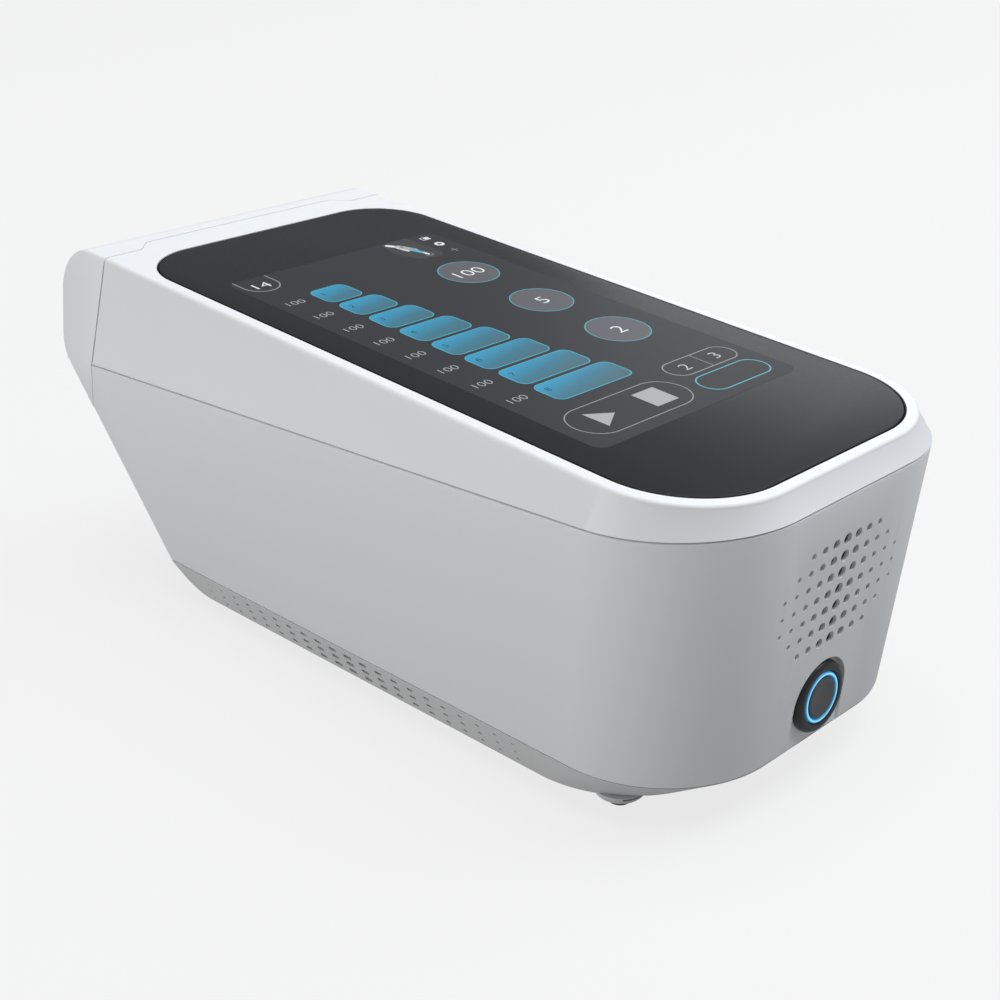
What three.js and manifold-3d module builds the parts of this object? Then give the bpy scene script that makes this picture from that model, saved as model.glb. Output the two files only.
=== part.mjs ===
// Compression therapy pump: a portable air pump for multi-chamber leg and arm garments.
// Millimetres, +Z up, the floor at z = 0, the screen's foot and power button towards -Y.
import * as THREE from 'three';
import { mergeVertices } from 'three/addons/utils/BufferGeometryUtils.js';
import Module from 'manifold-3d';

const wasm = await Module();
wasm.setup();

// Overall body sizes
const bodyWidth = 125.4;
const bodyLength = 269.8;
const trayClearance = 4.3;
const trayHeight = 11;
const partingFrontHeight = 90.7;
const rimRise = 6.75;
const topRise = THREE.MathUtils.degToRad(4);
const partingFall = THREE.MathUtils.degToRad(2.9);

// Plan outlines: how far each edge stands in from the widest line, the parting line
const rimInset = 4.3;
const rimSetback = 4.1;
const rimCornerRadius = 32.6;
const rimFillet = 1.4;
const partingCornerRadius = 37.2;
const skirtInset = 4.1;
const skirtSetback = 7.05;
const skirtCornerRadius = 37.1;
const trayInset = 8.4;
const traySetback = 22.1;
const trayCornerRadius = 36.2;

// Rear profile, seen from the side
const rearTopRadius = 15.2;
const rearKneeDrop = 35.23;
const rearKneeRadius = 13.5;
const rearSlant = THREE.MathUtils.degToRad(35.6);
const rearFootRadius = 16;

// Moulded walls and fits
const wall = 2.5;
const seamGap = 0.3;
const partingGap = 0.5;
const cutOver = 1;
const lipThickness = 1.2;
const lipHeight = 1.8;
const bossRadius = 3.6;
const screwRadius = 1.5;
const screwHeadRadius = 2.8;
const screwHeadHeight = 1.8;

// Rear cover seam
const seamTilt = THREE.MathUtils.degToRad(11.6);
const seamTopSetback = 24.4;
const seamTongueDepth = 5.2;
const seamTongueHalfWidth = 38.9;
const seamTongueShoulder = 5.4;

// Touch glass and what lies under it: margins from the rim's edge, the rear seam and the glass's edges
const rimWidth = 4.1;
const glassRearMargin = 8.06;
const glassFrontRadius = 28.8;
const glassRearRadius = 21.5;
const glassThickness = 2;
const glassSetback = 3.6;
const gasketThickness = 0.8;
const gasketEdge = 0.5;
const deckThickness = 2;
const displaySideMargin = 4.3;
const displayFrontMargin = 35.45;
const displayRearMargin = 29.85;
const displayThickness = 5.7;
const displayCornerRadius = 2;
const displayClearance = 1;

// Speaker grille and vents
const grillePitch = 5;
const grilleDropShare = 0.4625;
const grilleRowCounts = [7, 9, 11, 11, 11, 9, 7];
const grilleCentreDiameter = 3.5;
const grilleSizeShares = [1, 0.84, 0.7, 0.55, 0.42, 0.37];
const ventPitch = 6.93;
const ventRowPitch = 3.12;
const ventRowCount = 3;
const ventSideCount = 10;
const ventLength = 3.6;
const ventHeight = 1.5;
const ventEndShare = 0.28;

// Power button
const buttonHeight = 28;
const buttonRecessRadius = 11.8;
const buttonRecessStep = 0.3;
const buttonPadWall = 2.5;
const bezelBaseRadius = 10.6;
const bezelFaceRadius = 9.35;
const bezelStand = 2.65;
const bezelShoulder = 1.65;
const bezelCurveShare = 0.6;
const bezelBoreRadius = 7.8;
const barrelRadius = 9.4;
const barrelLength = 20;
const lightRingOuterRadius = 7.5;
const lightRingInnerRadius = 6.3;
const lightRingDepth = 3.7;
const capRadius = 6;
const capThickness = 2;
const capStemRadius = 3;
const capStemLength = 12;
const capTravel = 1.5;
const switchLength = 24;
const switchTerminalRadius = 1;
const switchTerminalLength = 4;
const nutRadius = 13;
const nutThickness = 3.5;

// Feet
const footInset = 19.8;
const footFrontSetback = 39;
const footRearSetback = 79;
const legRadius = 6.4;
const legTipRadius = 4.3;
const padRadius = 3.8;
const padHeight = 1.3;
const padEdge = 0.6;

const trayFloor = 1.6;

// Facets round a full turn, and along a quarter turn, by how large a piece shows
const fineSides = 18;
const roundSides = 12;
const innerSides = 10;
const postSides = 8;
const boreSides = 6;
const pinholeSides = 4;
const quarterSteps = 5;

const halfWidth = bodyWidth / 2;
const rimFrontHeight = partingFrontHeight + rimRise;
const frontY = -bodyLength / 2;
const rearY = bodyLength / 2;
const skirtHeight = trayClearance + trayHeight;
const farRear = rearY + wall;
const slantTangent = Math.tan(rearSlant);
const partingTangent = Math.tan(partingFall);
const topTangent = Math.tan(topRise);
const rimFrontY = frontY + rimSetback;
const glassFrontY = frontY + rimSetback + glassSetback;
const glassWidth = bodyWidth - 2 * (rimInset + rimWidth);
const glassLength = (rearY - seamTopSetback - glassRearMargin - glassFrontY) / Math.cos(topRise);
const displayWidth = glassWidth - 2 * displaySideMargin;
const displayLength = glassLength - displayFrontMargin - displayRearMargin;
const displayCentre = displayFrontMargin + displayLength / 2;

const topPlane = (y) => rimFrontHeight + topTangent * (y - rimFrontY);
const partingPlane = (y) => partingFrontHeight - partingTangent * (y - frontY);
const level = (z) => () => z;
const tallest = topPlane(farRear) + cutOver;
const rearKneeHeight = topPlane(rearY) - rearKneeDrop;

function toSolid(geometry) {
  const bare = geometry.clone();
  bare.deleteAttribute('normal');
  bare.deleteAttribute('uv');
  const merged = mergeVertices(bare, 1e-5);
  const triVerts = new Uint32Array(merged.index.array);
  const vertProperties = new Float32Array(merged.attributes.position.array);
  const made = new wasm.Manifold(new wasm.Mesh({ numProp: 3, vertProperties, triVerts }));
  if (made.volume() >= 0) return made;
  for (let i = 0; i < triVerts.length; i += 3) {
    [triVerts[i], triVerts[i + 1]] = [triVerts[i + 1], triVerts[i]];
  }
  return new wasm.Manifold(new wasm.Mesh({ numProp: 3, vertProperties, triVerts }));
}

function toGeometry(made) {
  const mesh = made.getMesh();
  const geometry = new THREE.BufferGeometry();
  geometry.setAttribute('position', new THREE.BufferAttribute(new Float32Array(mesh.vertProperties), 3));
  geometry.setIndex(new THREE.BufferAttribute(new Uint32Array(mesh.triVerts), 1));
  geometry.computeVertexNormals();
  return geometry;
}

function join(...solids) {
  return solids.reduce((sum, next) => sum.add(next));
}

function cut(from, ...tools) {
  return tools.reduce((rest, tool) => rest.subtract(tool), from);
}

function placed(made, matrix) {
  const geometry = toGeometry(made);
  geometry.applyMatrix4(matrix);
  return toSolid(geometry);
}

function moved(made, x, y, z) {
  return placed(made, new THREE.Matrix4().makeTranslation(x, y, z));
}

function block(x0, x1, y0, y1, z0, z1) {
  const geometry = new THREE.BoxGeometry(x1 - x0, y1 - y0, z1 - z0);
  geometry.translate((x0 + x1) / 2, (y0 + y1) / 2, (z0 + z1) / 2);
  return toSolid(geometry);
}

// A plan outline extruded upwards from z0 to z1
function extrudeUp(points, z0, z1, holes = []) {
  const shape = new THREE.Shape(points);
  shape.holes = holes.map((hole) => new THREE.Path(hole));
  const geometry = new THREE.ExtrudeGeometry(shape, { depth: z1 - z0, bevelEnabled: false });
  geometry.translate(0, 0, z0);
  return toSolid(geometry);
}

// A front-view outline of x and z extruded along y
function extrudeBack(points, y0, y1, holes = []) {
  const made = extrudeUp(points, -y1, -y0, holes);
  return placed(made, new THREE.Matrix4().makeRotationX(Math.PI / 2));
}

// A side-view outline of y and z extruded along x
function extrudeAcross(points, x0, x1) {
  const made = extrudeUp(points, x0, x1);
  const turn = new THREE.Matrix4().set(0, 0, 1, 0, 1, 0, 0, 0, 0, 1, 0, 0, 0, 0, 0, 1);
  return placed(made, turn);
}

// A post of round section standing on z0
function post(x, y, z0, z1, radius, sides = postSides) {
  const geometry = new THREE.CylinderGeometry(radius, radius, z1 - z0, sides);
  geometry.rotateX(Math.PI / 2);
  geometry.translate(x, y, (z0 + z1) / 2);
  return toSolid(geometry);
}

// A rod of round section along y
function rod(x, z, y0, y1, radius, sides = postSides) {
  const geometry = new THREE.CylinderGeometry(radius, radius, y1 - y0, sides);
  geometry.translate(x, (y0 + y1) / 2, z);
  return toSolid(geometry);
}

// A profile of [radius, distance along y] pairs turned about the y axis
function turnedAboutY(profile, sides) {
  const points = profile.map(([radius, along]) => new THREE.Vector2(radius, along));
  return toSolid(new THREE.LatheGeometry(points, sides));
}

function turnedAboutZ(profile, sides) {
  return placed(turnedAboutY(profile, sides), new THREE.Matrix4().makeRotationX(Math.PI / 2));
}

function arc(cx, cy, radius, from, to, steps) {
  const points = [];
  for (let i = 0; i <= steps; i += 1) {
    const angle = from + ((to - from) * i) / steps;
    points.push(new THREE.Vector2(cx + radius * Math.cos(angle), cy + radius * Math.sin(angle)));
  }
  return points;
}

function roundedRectangle(x0, x1, y0, y1, radius, steps) {
  const quarter = Math.PI / 2;
  return [
    ...arc(x1 - radius, y0 + radius, radius, -quarter, 0, steps),
    ...arc(x1 - radius, y1 - radius, radius, 0, quarter, steps),
    ...arc(x0 + radius, y1 - radius, radius, quarter, Math.PI, steps),
    ...arc(x0 + radius, y0 + radius, radius, Math.PI, Math.PI + quarter, steps),
  ];
}

// Corners of a polygon rounded by tangent arcs: corners are {x, y, radius}
function filleted(corners, steps) {
  const points = [];
  corners.forEach((corner, i) => {
    const before = corners[(i + corners.length - 1) % corners.length];
    const after = corners[(i + 1) % corners.length];
    const here = new THREE.Vector2(corner.x, corner.y);
    if (!corner.radius) {
      points.push(here);
      return;
    }
    const back = new THREE.Vector2(before.x, before.y).sub(here).normalize();
    const ahead = new THREE.Vector2(after.x, after.y).sub(here).normalize();
    const half = Math.acos(back.dot(ahead)) / 2;
    const reach = corner.radius / Math.tan(half);
    const bisector = back.clone().add(ahead).normalize();
    const centre = here.clone().addScaledVector(bisector, corner.radius / Math.sin(half));
    const start = here.clone().addScaledVector(back, reach).sub(centre);
    const end = here.clone().addScaledVector(ahead, reach).sub(centre);
    const from = start.angle();
    let turn = end.angle() - from;
    if (turn > Math.PI) turn -= 2 * Math.PI;
    if (turn < -Math.PI) turn += 2 * Math.PI;
    points.push(...arc(centre.x, centre.y, corner.radius, from, from + turn, steps));
  });
  return points;
}

// A side-view polygon with each edge moved inwards by its own distance
function insetCorners(corners, insets) {
  const lines = corners.map((corner, i) => {
    const next = corners[(i + 1) % corners.length];
    const along = new THREE.Vector2(next.x - corner.x, next.y - corner.y).normalize();
    const inward = new THREE.Vector2(-along.y, along.x);
    const start = new THREE.Vector2(corner.x, corner.y).addScaledVector(inward, insets[i]);
    return { start, along };
  });
  return corners.map((corner, i) => {
    const a = lines[(i + corners.length - 1) % corners.length];
    const b = lines[i];
    const gap = b.start.clone().sub(a.start);
    const t = gap.cross(b.along) / a.along.cross(b.along);
    const point = a.start.clone().addScaledVector(a.along, t);
    const radius = corner.radius ? Math.max(corner.radius - insets[i], 0) : 0;
    return { x: point.x, y: point.y, radius };
  });
}

// The rear outline of the body: flat foot, slanted face, knee, upright face and rounded top edge
function sideProfile(inset, topInset, footInset = inset) {
  const farFront = frontY - wall;
  const kneeY = rearY;
  const slantFootY = kneeY - (rearKneeHeight - trayClearance) * slantTangent;
  const corners = [
    { x: farFront, y: trayClearance },
    { x: slantFootY, y: trayClearance, radius: rearFootRadius },
    { x: kneeY, y: rearKneeHeight, radius: rearKneeRadius },
    { x: kneeY, y: topPlane(kneeY), radius: rearTopRadius },
    { x: farFront, y: topPlane(farFront) },
  ];
  const insets = [footInset, inset, inset, topInset, 0];
  return filleted(insetCorners(corners, insets), quarterSteps - 1);
}

function profileSolid(inset, topInset, footInset) {
  return extrudeAcross(sideProfile(inset, topInset, footInset), -bodyWidth, bodyWidth);
}

// A U-shaped plan outline, square at the rear and rounded at the front, laid on a sloping plane
function outline(halfWidth, atY, radius, plane, rear = farRear) {
  const quarter = Math.PI / 2;
  const right = arc(halfWidth - radius, atY + radius, radius, -quarter, 0, quarterSteps);
  const left = arc(-halfWidth + radius, atY + radius, radius, Math.PI, Math.PI + quarter, quarterSteps);
  const plan = [...right, new THREE.Vector2(halfWidth, rear), new THREE.Vector2(-halfWidth, rear), ...left];
  return plan.map((p) => new THREE.Vector3(p.x, p.y, plane(p.y)));
}

// Rings of equal count, from the lowest to the highest, joined by straight walls and closed at both ends
function loft(rings) {
  const count = rings[0].length;
  const positions = rings.flat().flatMap((p) => [p.x, p.y, p.z]);
  const index = [];
  for (let r = 0; r + 1 < rings.length; r += 1) {
    for (let i = 0; i < count; i += 1) {
      const j = (i + 1) % count;
      const low = r * count;
      const high = low + count;
      index.push(low + i, low + j, high + j, low + i, high + j, high + i);
    }
  }
  const flat = rings[0].map((p) => new THREE.Vector2(p.x, p.y));
  const last = (rings.length - 1) * count;
  THREE.ShapeUtils.triangulateShape(flat, []).forEach(([a, b, c]) => {
    index.push(a, c, b);
    index.push(last + a, last + b, last + c);
  });
  const geometry = new THREE.BufferGeometry();
  geometry.setAttribute('position', new THREE.Float32BufferAttribute(positions, 3));
  geometry.setIndex(index);
  return toSolid(geometry);
}

// The body above the parting plane, all walls moved in by inset; drop lowers its under side
function upperForm(inset, topInset, drop = 0) {
  const part = outline(
    halfWidth - inset, frontY + inset, partingCornerRadius - inset, (y) => partingPlane(y) - drop);
  const rimWidth = halfWidth - rimInset - inset;
  const rimRadius = rimCornerRadius - inset;
  const rimEdge = rimFrontY + inset;
  const rimAt = (round, lower) => outline(
    rimWidth - round, rimEdge + round, rimRadius - round, (y) => topPlane(y) - topInset - lower);
  const half = rimFillet * (1 - Math.SQRT1_2);
  const rings = inset
    ? [part, rimAt(0, 0)]
    : [part, rimAt(0, rimFillet), rimAt(half, half), rimAt(rimFillet, 0)];
  return loft(rings).intersect(profileSolid(inset, topInset));
}

// The body from the parting plane down to the tray
function lowerForm(inset, partingDrop, reach = 0) {
  const skirtAt = (z) => outline(
    halfWidth - skirtInset - inset, frontY + skirtSetback + inset, skirtCornerRadius - inset, level(z));
  const part = outline(
    halfWidth - inset, frontY + inset, partingCornerRadius - inset, (y) => partingPlane(y) - partingDrop);
  const skirt = skirtAt(skirtHeight);
  const rings = reach ? [skirtAt(skirtHeight - reach), skirt, part] : [skirt, part];
  return loft(rings).intersect(profileSolid(inset, 0, 0));
}

// Everything behind the cover's seam: a plan with a tongue, leaning down and back
function behindSeam(shift) {
  const topY = rearY - seamTopSetback + shift;
  const tongueY = topY + seamTongueDepth;
  const outer = seamTongueHalfWidth + seamTongueShoulder;
  const plan = [
    new THREE.Vector2(-bodyWidth, topY),
    new THREE.Vector2(-outer, topY),
    new THREE.Vector2(-seamTongueHalfWidth, tongueY),
    new THREE.Vector2(seamTongueHalfWidth, tongueY),
    new THREE.Vector2(outer, topY),
    new THREE.Vector2(bodyWidth, topY),
    new THREE.Vector2(bodyWidth, rearY + bodyWidth),
    new THREE.Vector2(-bodyWidth, rearY + bodyWidth),
  ];
  const made = extrudeUp(plan, 0, tallest);
  const lean = Math.tan(seamTilt);
  const datum = topPlane(rearY - seamTopSetback);
  const shear = new THREE.Matrix4().set(1, 0, 0, 0, 0, 1, -lean, lean * datum, 0, 0, 1, 0, 0, 0, 0, 1);
  return placed(made, shear);
}

// Frame of the sloping top: origin at the middle of the glass's front edge
const topFrame = new THREE.Matrix4()
  .makeTranslation(0, glassFrontY, topPlane(glassFrontY))
  .multiply(new THREE.Matrix4().makeRotationX(topRise));

function glassOutline(grow) {
  const half = glassWidth / 2 + grow;
  const quarter = Math.PI / 2;
  const front = glassFrontRadius + grow;
  const rear = glassRearRadius + grow;
  const far = glassLength + grow;
  return [
    ...arc(half - front, front - grow, front, -quarter, 0, quarterSteps),
    ...arc(half - rear, far - rear, rear, 0, quarter, quarterSteps),
    ...arc(rear - half, far - rear, rear, quarter, Math.PI, quarterSteps),
    ...arc(front - half, front - grow, front, Math.PI, Math.PI + quarter, quarterSteps),
  ];
}

function displayOutline(grow) {
  const half = displayWidth / 2 + grow;
  const near = displayCentre - displayLength / 2 - grow;
  const far = displayCentre + displayLength / 2 + grow;
  return roundedRectangle(-half, half, near, far, displayCornerRadius + grow, 3);
}

const pocketDepth = glassThickness + gasketThickness + 2 * seamGap;
const deckDepth = pocketDepth + deckThickness;

// Hanging bosses under the deck that carry the main board
const boardDrop = 11.3;
const boardThickness = 1.6;
const boardSideMargin = 4;
const boardHalfWidth = displayWidth / 2 - boardSideMargin;
const boardFront = 22;
const boardRearMargin = 18.2;
const boardRear = glassLength - boardRearMargin;
const boardHoleInset = 7;
const boardPosts = [
  [-boardHalfWidth + boardHoleInset, boardFront + boardHoleInset],
  [boardHalfWidth - boardHoleInset, boardFront + boardHoleInset],
  [-boardHalfWidth + boardHoleInset, boardRear - boardHoleInset / 2],
  [boardHalfWidth - boardHoleInset, boardRear - boardHoleInset / 2],
];
const boardPostRadius = 2.8;

// Hose sockets and charging inlet, in a row across the rear cover
const socketDrop = 26.03;
const socketHalfHeight = 7.5;
const socketCornerRadius = 2.5;
const inletRadius = 5.4;
const inletFlangeRadius = 7.4;
const socketWall = 1.6;
const socketSpanShare = 0.3345;
const socketPlaceShare = 0.4268;
const socketHeight = topPlane(rearY) - socketDrop;
const socketHalfWidth = (halfWidth - inletFlangeRadius) * socketSpanShare;
const socketCentreX = inletFlangeRadius + (halfWidth - inletFlangeRadius) * socketPlaceShare;

// Four hose nipples in each socket, and the barbs of the same size on the pieces within
const nippleCount = 4;
const nippleSpreadShare = 0.6487;
const nippleRadiusShare = 0.275;
const nipplePitch = (2 * socketHalfWidth * nippleSpreadShare) / (nippleCount - 1);
const barbRadius = nipplePitch * nippleRadiusShare;
const barbWall = 1;
const barbBore = barbRadius - barbWall;
const barbLength = 6.5;
const barbSleeve = 7.1;

// Valve manifold under the deck's rear, hung from two posts, its barbs in line with the sockets
const manifoldSetback = 38.9;
const manifoldTall = 13;
const manifoldLift = 0.5;
const manifoldLong = 16;
const manifoldInset = 14.7;
const manifoldHangerInset = 8;
const manifoldY = rearY - manifoldSetback;
const manifoldHeight = socketHeight + manifoldLift - manifoldTall / 2;
const manifoldHalfWidth = halfWidth - manifoldInset;
const manifoldHangerX = manifoldHalfWidth - manifoldHangerInset;

// Screw towers that join the two housings: plan places, shared by both
const towerInset = 7.2;
const towerFrontSetback = 46;
const towerRearSetback = 58;
const towerPlaces = [
  [-halfWidth + towerInset, frontY + towerFrontSetback],
  [halfWidth - towerInset, frontY + towerFrontSetback],
  [-halfWidth + towerInset, rearY - towerRearSetback],
  [halfWidth - towerInset, rearY - towerRearSetback],
];
const towerLength = 14;

function upperHousing() {
  const shell = upperForm(0, 0).subtract(upperForm(wall, deckDepth, cutOver));
  const glassPocket = placed(extrudeUp(glassOutline(seamGap), -pocketDepth, cutOver), topFrame);
  const window = placed(
    extrudeUp(displayOutline(displayClearance), -deckDepth - cutOver, cutOver), topFrame);
  const drops = boardPosts.map(([x, y]) => placed(
    post(x, y, -boardDrop + seamGap, -deckDepth + deckThickness / 2, boardPostRadius), topFrame));
  const towers = towerPlaces.map(([x, y]) => post(
    x, y, partingPlane(y) + seamGap, topPlane(y) - deckDepth + deckThickness / 2, bossRadius));
  const hangers = [-manifoldHangerX, manifoldHangerX].map((x) => post(
    x, manifoldY, manifoldHeight + manifoldTall + seamGap,
    topPlane(manifoldY) - deckDepth + deckThickness / 2, boardPostRadius));
  const whole = join(shell, ...drops, ...towers, ...hangers);
  const pilots = towerPlaces.map(([x, y]) => post(
    x, y, partingPlane(y) - cutOver, partingPlane(y) + towerLength / 2, screwRadius, boreSides));
  return cut(whole, glassPocket, window, behindSeam(-seamGap / 2), ...pilots);
}

// Front wall frame: origin on the parting line, x across and -z down the leaning wall
const frontLean = Math.atan2(skirtSetback, partingFrontHeight - skirtHeight);
const grilleDrop = (partingFrontHeight - buttonHeight) * grilleDropShare;
const wallFrame = new THREE.Matrix4()
  .makeTranslation(0, frontY, partingFrontHeight)
  .multiply(new THREE.Matrix4().makeRotationX(frontLean));

function grilleHoles(depth) {
  const holes = [];
  grilleRowCounts.forEach((count, row) => {
    const z = -grilleDrop + (row - (grilleRowCounts.length - 1) / 2) * -grillePitch;
    for (let i = 0; i < count; i += 1) {
      const column = i - (count - 1) / 2;
      const radius = (grilleCentreDiameter * grilleSizeShares[Math.abs(column)]) / 2;
      const sides = column === 0 ? boreSides : pinholeSides;
      holes.push(rod(column * grillePitch, z, -depth, depth, radius, sides));
    }
  });
  return placed(wasm.Manifold.union(holes), wallFrame);
}

const recessFloorY = frontY + skirtSetback + buttonRecessStep;

function archOutline(grow, bottom) {
  const radius = buttonRecessRadius + grow;
  return [
    new THREE.Vector2(radius, bottom),
    ...arc(0, buttonHeight, radius, 0, Math.PI, fineSides / 2),
    new THREE.Vector2(-radius, bottom),
  ];
}

const speakerTopGap = 11.6;
const speakerRadius = grilleDrop - speakerTopGap;
const speakerCollar = 1.4;
const speakerCollarDepth = 4;
const screwShankRadius = screwRadius - seamGap;

// Tray seats: bosses of the lower housing that the tray is screwed to, over the feet
const footX = halfWidth - footInset;
const footPlaces = [
  [-footX, frontY + footFrontSetback],
  [footX, frontY + footFrontSetback],
  [-footX, rearY - footRearSetback],
  [footX, rearY - footRearSetback],
];
const seatInset = 14.5;
const seatRadius = screwHeadRadius + seamGap + lipThickness;
const seatCounterTop = trayClearance + screwHeadHeight + 2 * seamGap;
const seatRise = 3;
const seatOffset = 14;
const traySeats = footPlaces.map(
  ([x, y]) => [Math.sign(x) * (halfWidth - seatInset), y - Math.sign(y) * seatOffset]);

// Tongues inside the lower housing's top edge that line the two housings up
const tongueLength = 16;
const tonguePlaceShares = [-0.52, -0.2, 0.12, 0.42];

function liningTongues() {
  const inner = halfWidth - wall - seamGap - 2 * lipThickness;
  const tongues = tonguePlaceShares.flatMap((share) => [-1, 1].map((side) => {
    const y = share * rearY;
    const z = partingPlane(y);
    const span = (near, far, low, high) => block(
      Math.min(side * near, side * far), Math.max(side * near, side * far),
      y - tongueLength / 2, y + tongueLength / 2, z + low, z + high);
    return join(
      span(inner - lipThickness, inner, -2 * lipHeight, lipHeight),
      span(inner - lipThickness, halfWidth - wall / 2, -2 * lipHeight, -lipHeight));
  }));
  return wasm.Manifold.union(tongues);
}

// Flange inside the lower housing's bottom edge that takes the tray screws
function seatBosses() {
  const bosses = traySeats.map(([x, y]) => {
    const out = Math.sign(x) * seatInset;
    const web = block(
      Math.min(x, x + out), Math.max(x, x + out), y - bossRadius / 2, y + bossRadius / 2,
      skirtHeight + upstandRise + seamGap, skirtHeight + seatRise + towerLength / 2);
    const boss = post(x, y, skirtHeight + seatRise, skirtHeight + seatRise + towerLength / 2, bossRadius);
    return join(boss, web);
  });
  return wasm.Manifold.union(bosses);
}

function lowerHousing() {
  const shell = lowerForm(0, partingGap).subtract(lowerForm(wall, -cutOver, cutOver));
  const inside = lowerForm(wall / 2, 0);
  const pad = extrudeBack(
    archOutline(buttonPadWall, skirtHeight), frontY, recessFloorY + buttonPadWall).intersect(inside);
  const disc = (radius) => arc(0, -grilleDrop, radius, 0, 2 * Math.PI, fineSides).slice(1);
  const collar = placed(
    extrudeBack(
      disc(speakerRadius + seamGap + speakerCollar), wall / 2, wall + speakerCollarDepth,
      [disc(speakerRadius + seamGap)]),
    wallFrame).intersect(inside);
  const towers = towerPlaces.map(([x, y]) => join(
    post(x, y, partingPlane(y) - towerLength, partingPlane(y), bossRadius),
    block(
      Math.min(x, x + Math.sign(x) * towerInset), Math.max(x, x + Math.sign(x) * towerInset),
      y - lipThickness, y + lipThickness, partingPlane(y) - towerLength, partingPlane(y) - lipHeight)));
  const bosses = join(...towers, seatBosses()).intersect(inside);
  const whole = join(shell, liningTongues(), pad, collar, bosses);
  const recess = extrudeBack(archOutline(0, skirtHeight - cutOver), frontY - cutOver, recessFloorY);
  const barrelHole = rod(
    0, buttonHeight, frontY, recessFloorY + 2 * buttonPadWall, barrelRadius + seamGap, fineSides);
  const pilots = [
    ...towerPlaces.map(([x, y]) => post(
      x, y, partingPlane(y) - towerLength - cutOver, partingPlane(y) + lipHeight, screwRadius, boreSides)),
    ...traySeats.map(([x, y]) => post(
      x, y, skirtHeight, skirtHeight + seatRise + towerLength / 2 - cutOver, screwRadius, boreSides)),
  ];
  return cut(whole, grilleHoles(2 * wall), recess, barrelHole, behindSeam(-seamGap / 2), ...pilots);
}

// Rear cover with its two hose windows and the inlet hole
function socketOutline(x, grow) {
  return roundedRectangle(
    x - socketHalfWidth - grow, x + socketHalfWidth + grow,
    socketHeight - socketHalfHeight - grow, socketHeight + socketHalfHeight + grow,
    socketCornerRadius + grow, 2);
}

function rearCover() {
  const outer = join(upperForm(0, 0), lowerForm(0, 0));
  const inner = join(upperForm(wall, wall, cutOver), lowerForm(wall, -cutOver, cutOver));
  const shell = outer.subtract(inner).intersect(behindSeam(seamGap / 2));
  const windows = [-socketCentreX, socketCentreX].map((x) => extrudeBack(
    socketOutline(x, seamGap), rearY - 2 * wall, rearY + cutOver));
  const inlet = rod(0, socketHeight, rearY - 2 * wall, rearY + cutOver, inletRadius + seamGap, roundSides);
  return cut(shell, ...windows, inlet);
}

// Base tray: the dark band with the vents, its floor, upstand, legs and what stands on it
const bandTop = skirtHeight - seamGap;
const bandLean = Math.atan2(trayInset - skirtInset, trayHeight);

function bandForm(inset, floorZ, topZ) {
  const share = (z) => (skirtHeight - z) / trayHeight;
  const ring = (z) => outline(
    halfWidth - THREE.MathUtils.lerp(skirtInset, trayInset, share(z)) - inset,
    frontY + THREE.MathUtils.lerp(skirtSetback, traySetback, share(z)) + inset,
    THREE.MathUtils.lerp(skirtCornerRadius, trayCornerRadius, share(z)) - inset,
    level(z));
  return loft([ring(floorZ), ring(topZ)]).intersect(profileSolid(inset, 0, floorZ - trayClearance));
}

function ventSlots() {
  const slots = [];
  for (let column = -ventSideCount; column <= ventSideCount; column += 1) {
    const share = THREE.MathUtils.lerp(1, ventEndShare, Math.abs(column) / ventSideCount);
    for (let row = 0; row < ventRowCount; row += 1) {
      const geometry = new THREE.BoxGeometry(2 * wall + 2 * seamGap, ventLength * share, ventHeight * share);
      geometry.translate(0, column * ventPitch, -(row + 1) * ventRowPitch);
      slots.push(toSolid(geometry));
    }
  }
  const bank = wasm.Manifold.union(slots);
  const place = (side) => new THREE.Matrix4()
    .makeTranslation(side * (halfWidth - skirtInset), 0, skirtHeight)
    .multiply(new THREE.Matrix4().makeRotationY(side * bandLean));
  return [-1, 1].map((side) => placed(bank, place(side)));
}

const trayTop = trayClearance + trayFloor;
const upstandRise = 4;

// A leg's domed side, as shares of its spread and of its height
const legCurveShares = [[0, 0], [0.62, 0.28], [0.92, 0.6], [1, 1]];

function legProfile() {
  const base = padHeight + seamGap;
  const side = legCurveShares.map(([spread, rise]) => [
    THREE.MathUtils.lerp(legTipRadius, legRadius, spread), THREE.MathUtils.lerp(base, trayTop, rise)]);
  return [[0, base], ...side, [0, trayTop]];
}

// Compressor sizes, from its own middle
const compressorHalfWidth = 28.5;
const compressorHalfPlate = 41;
const endWallAt = 33;
const endWallThickness = 3;
const diaphragmThickness = 1.6;
const headLength = 13;
const headCavityDepth = 6;
const barbShare = 0.55;
const headSideShare = 0.7;
const headCrownShare = 0.86;
const ductShare = 0.65;
const armatureHalfThickness = 4;
const armaturePlateThickness = 4;
const magnetSlotHalfLength = 16;
const poleGap = 1;
const coreDepth = 21;
const coreHalfLength = 27;
const coreBack = 6;
const coreLeg = 8;
const coilThickness = 7;
const diaphragmAt = endWallAt + endWallThickness + seamGap;
const headAt = diaphragmAt + diaphragmThickness + seamGap;

// What stands on the tray: the compressor's mounts, the battery's cradle and the fan's slot.
// The battery fills the length between the button's switch and the compressor.
const compressorSetback = 106.9;
const compressorY = rearY - compressorSetback;
const compressorPlate = 2;
const compressorMountX = 23.5;
const compressorMountY = 36;
const mountPinRadius = 2.2;
const mountRadius = 5;
const mountHeight = 6;
const compressorBase = trayTop + mountHeight + 2 * seamGap;

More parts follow.
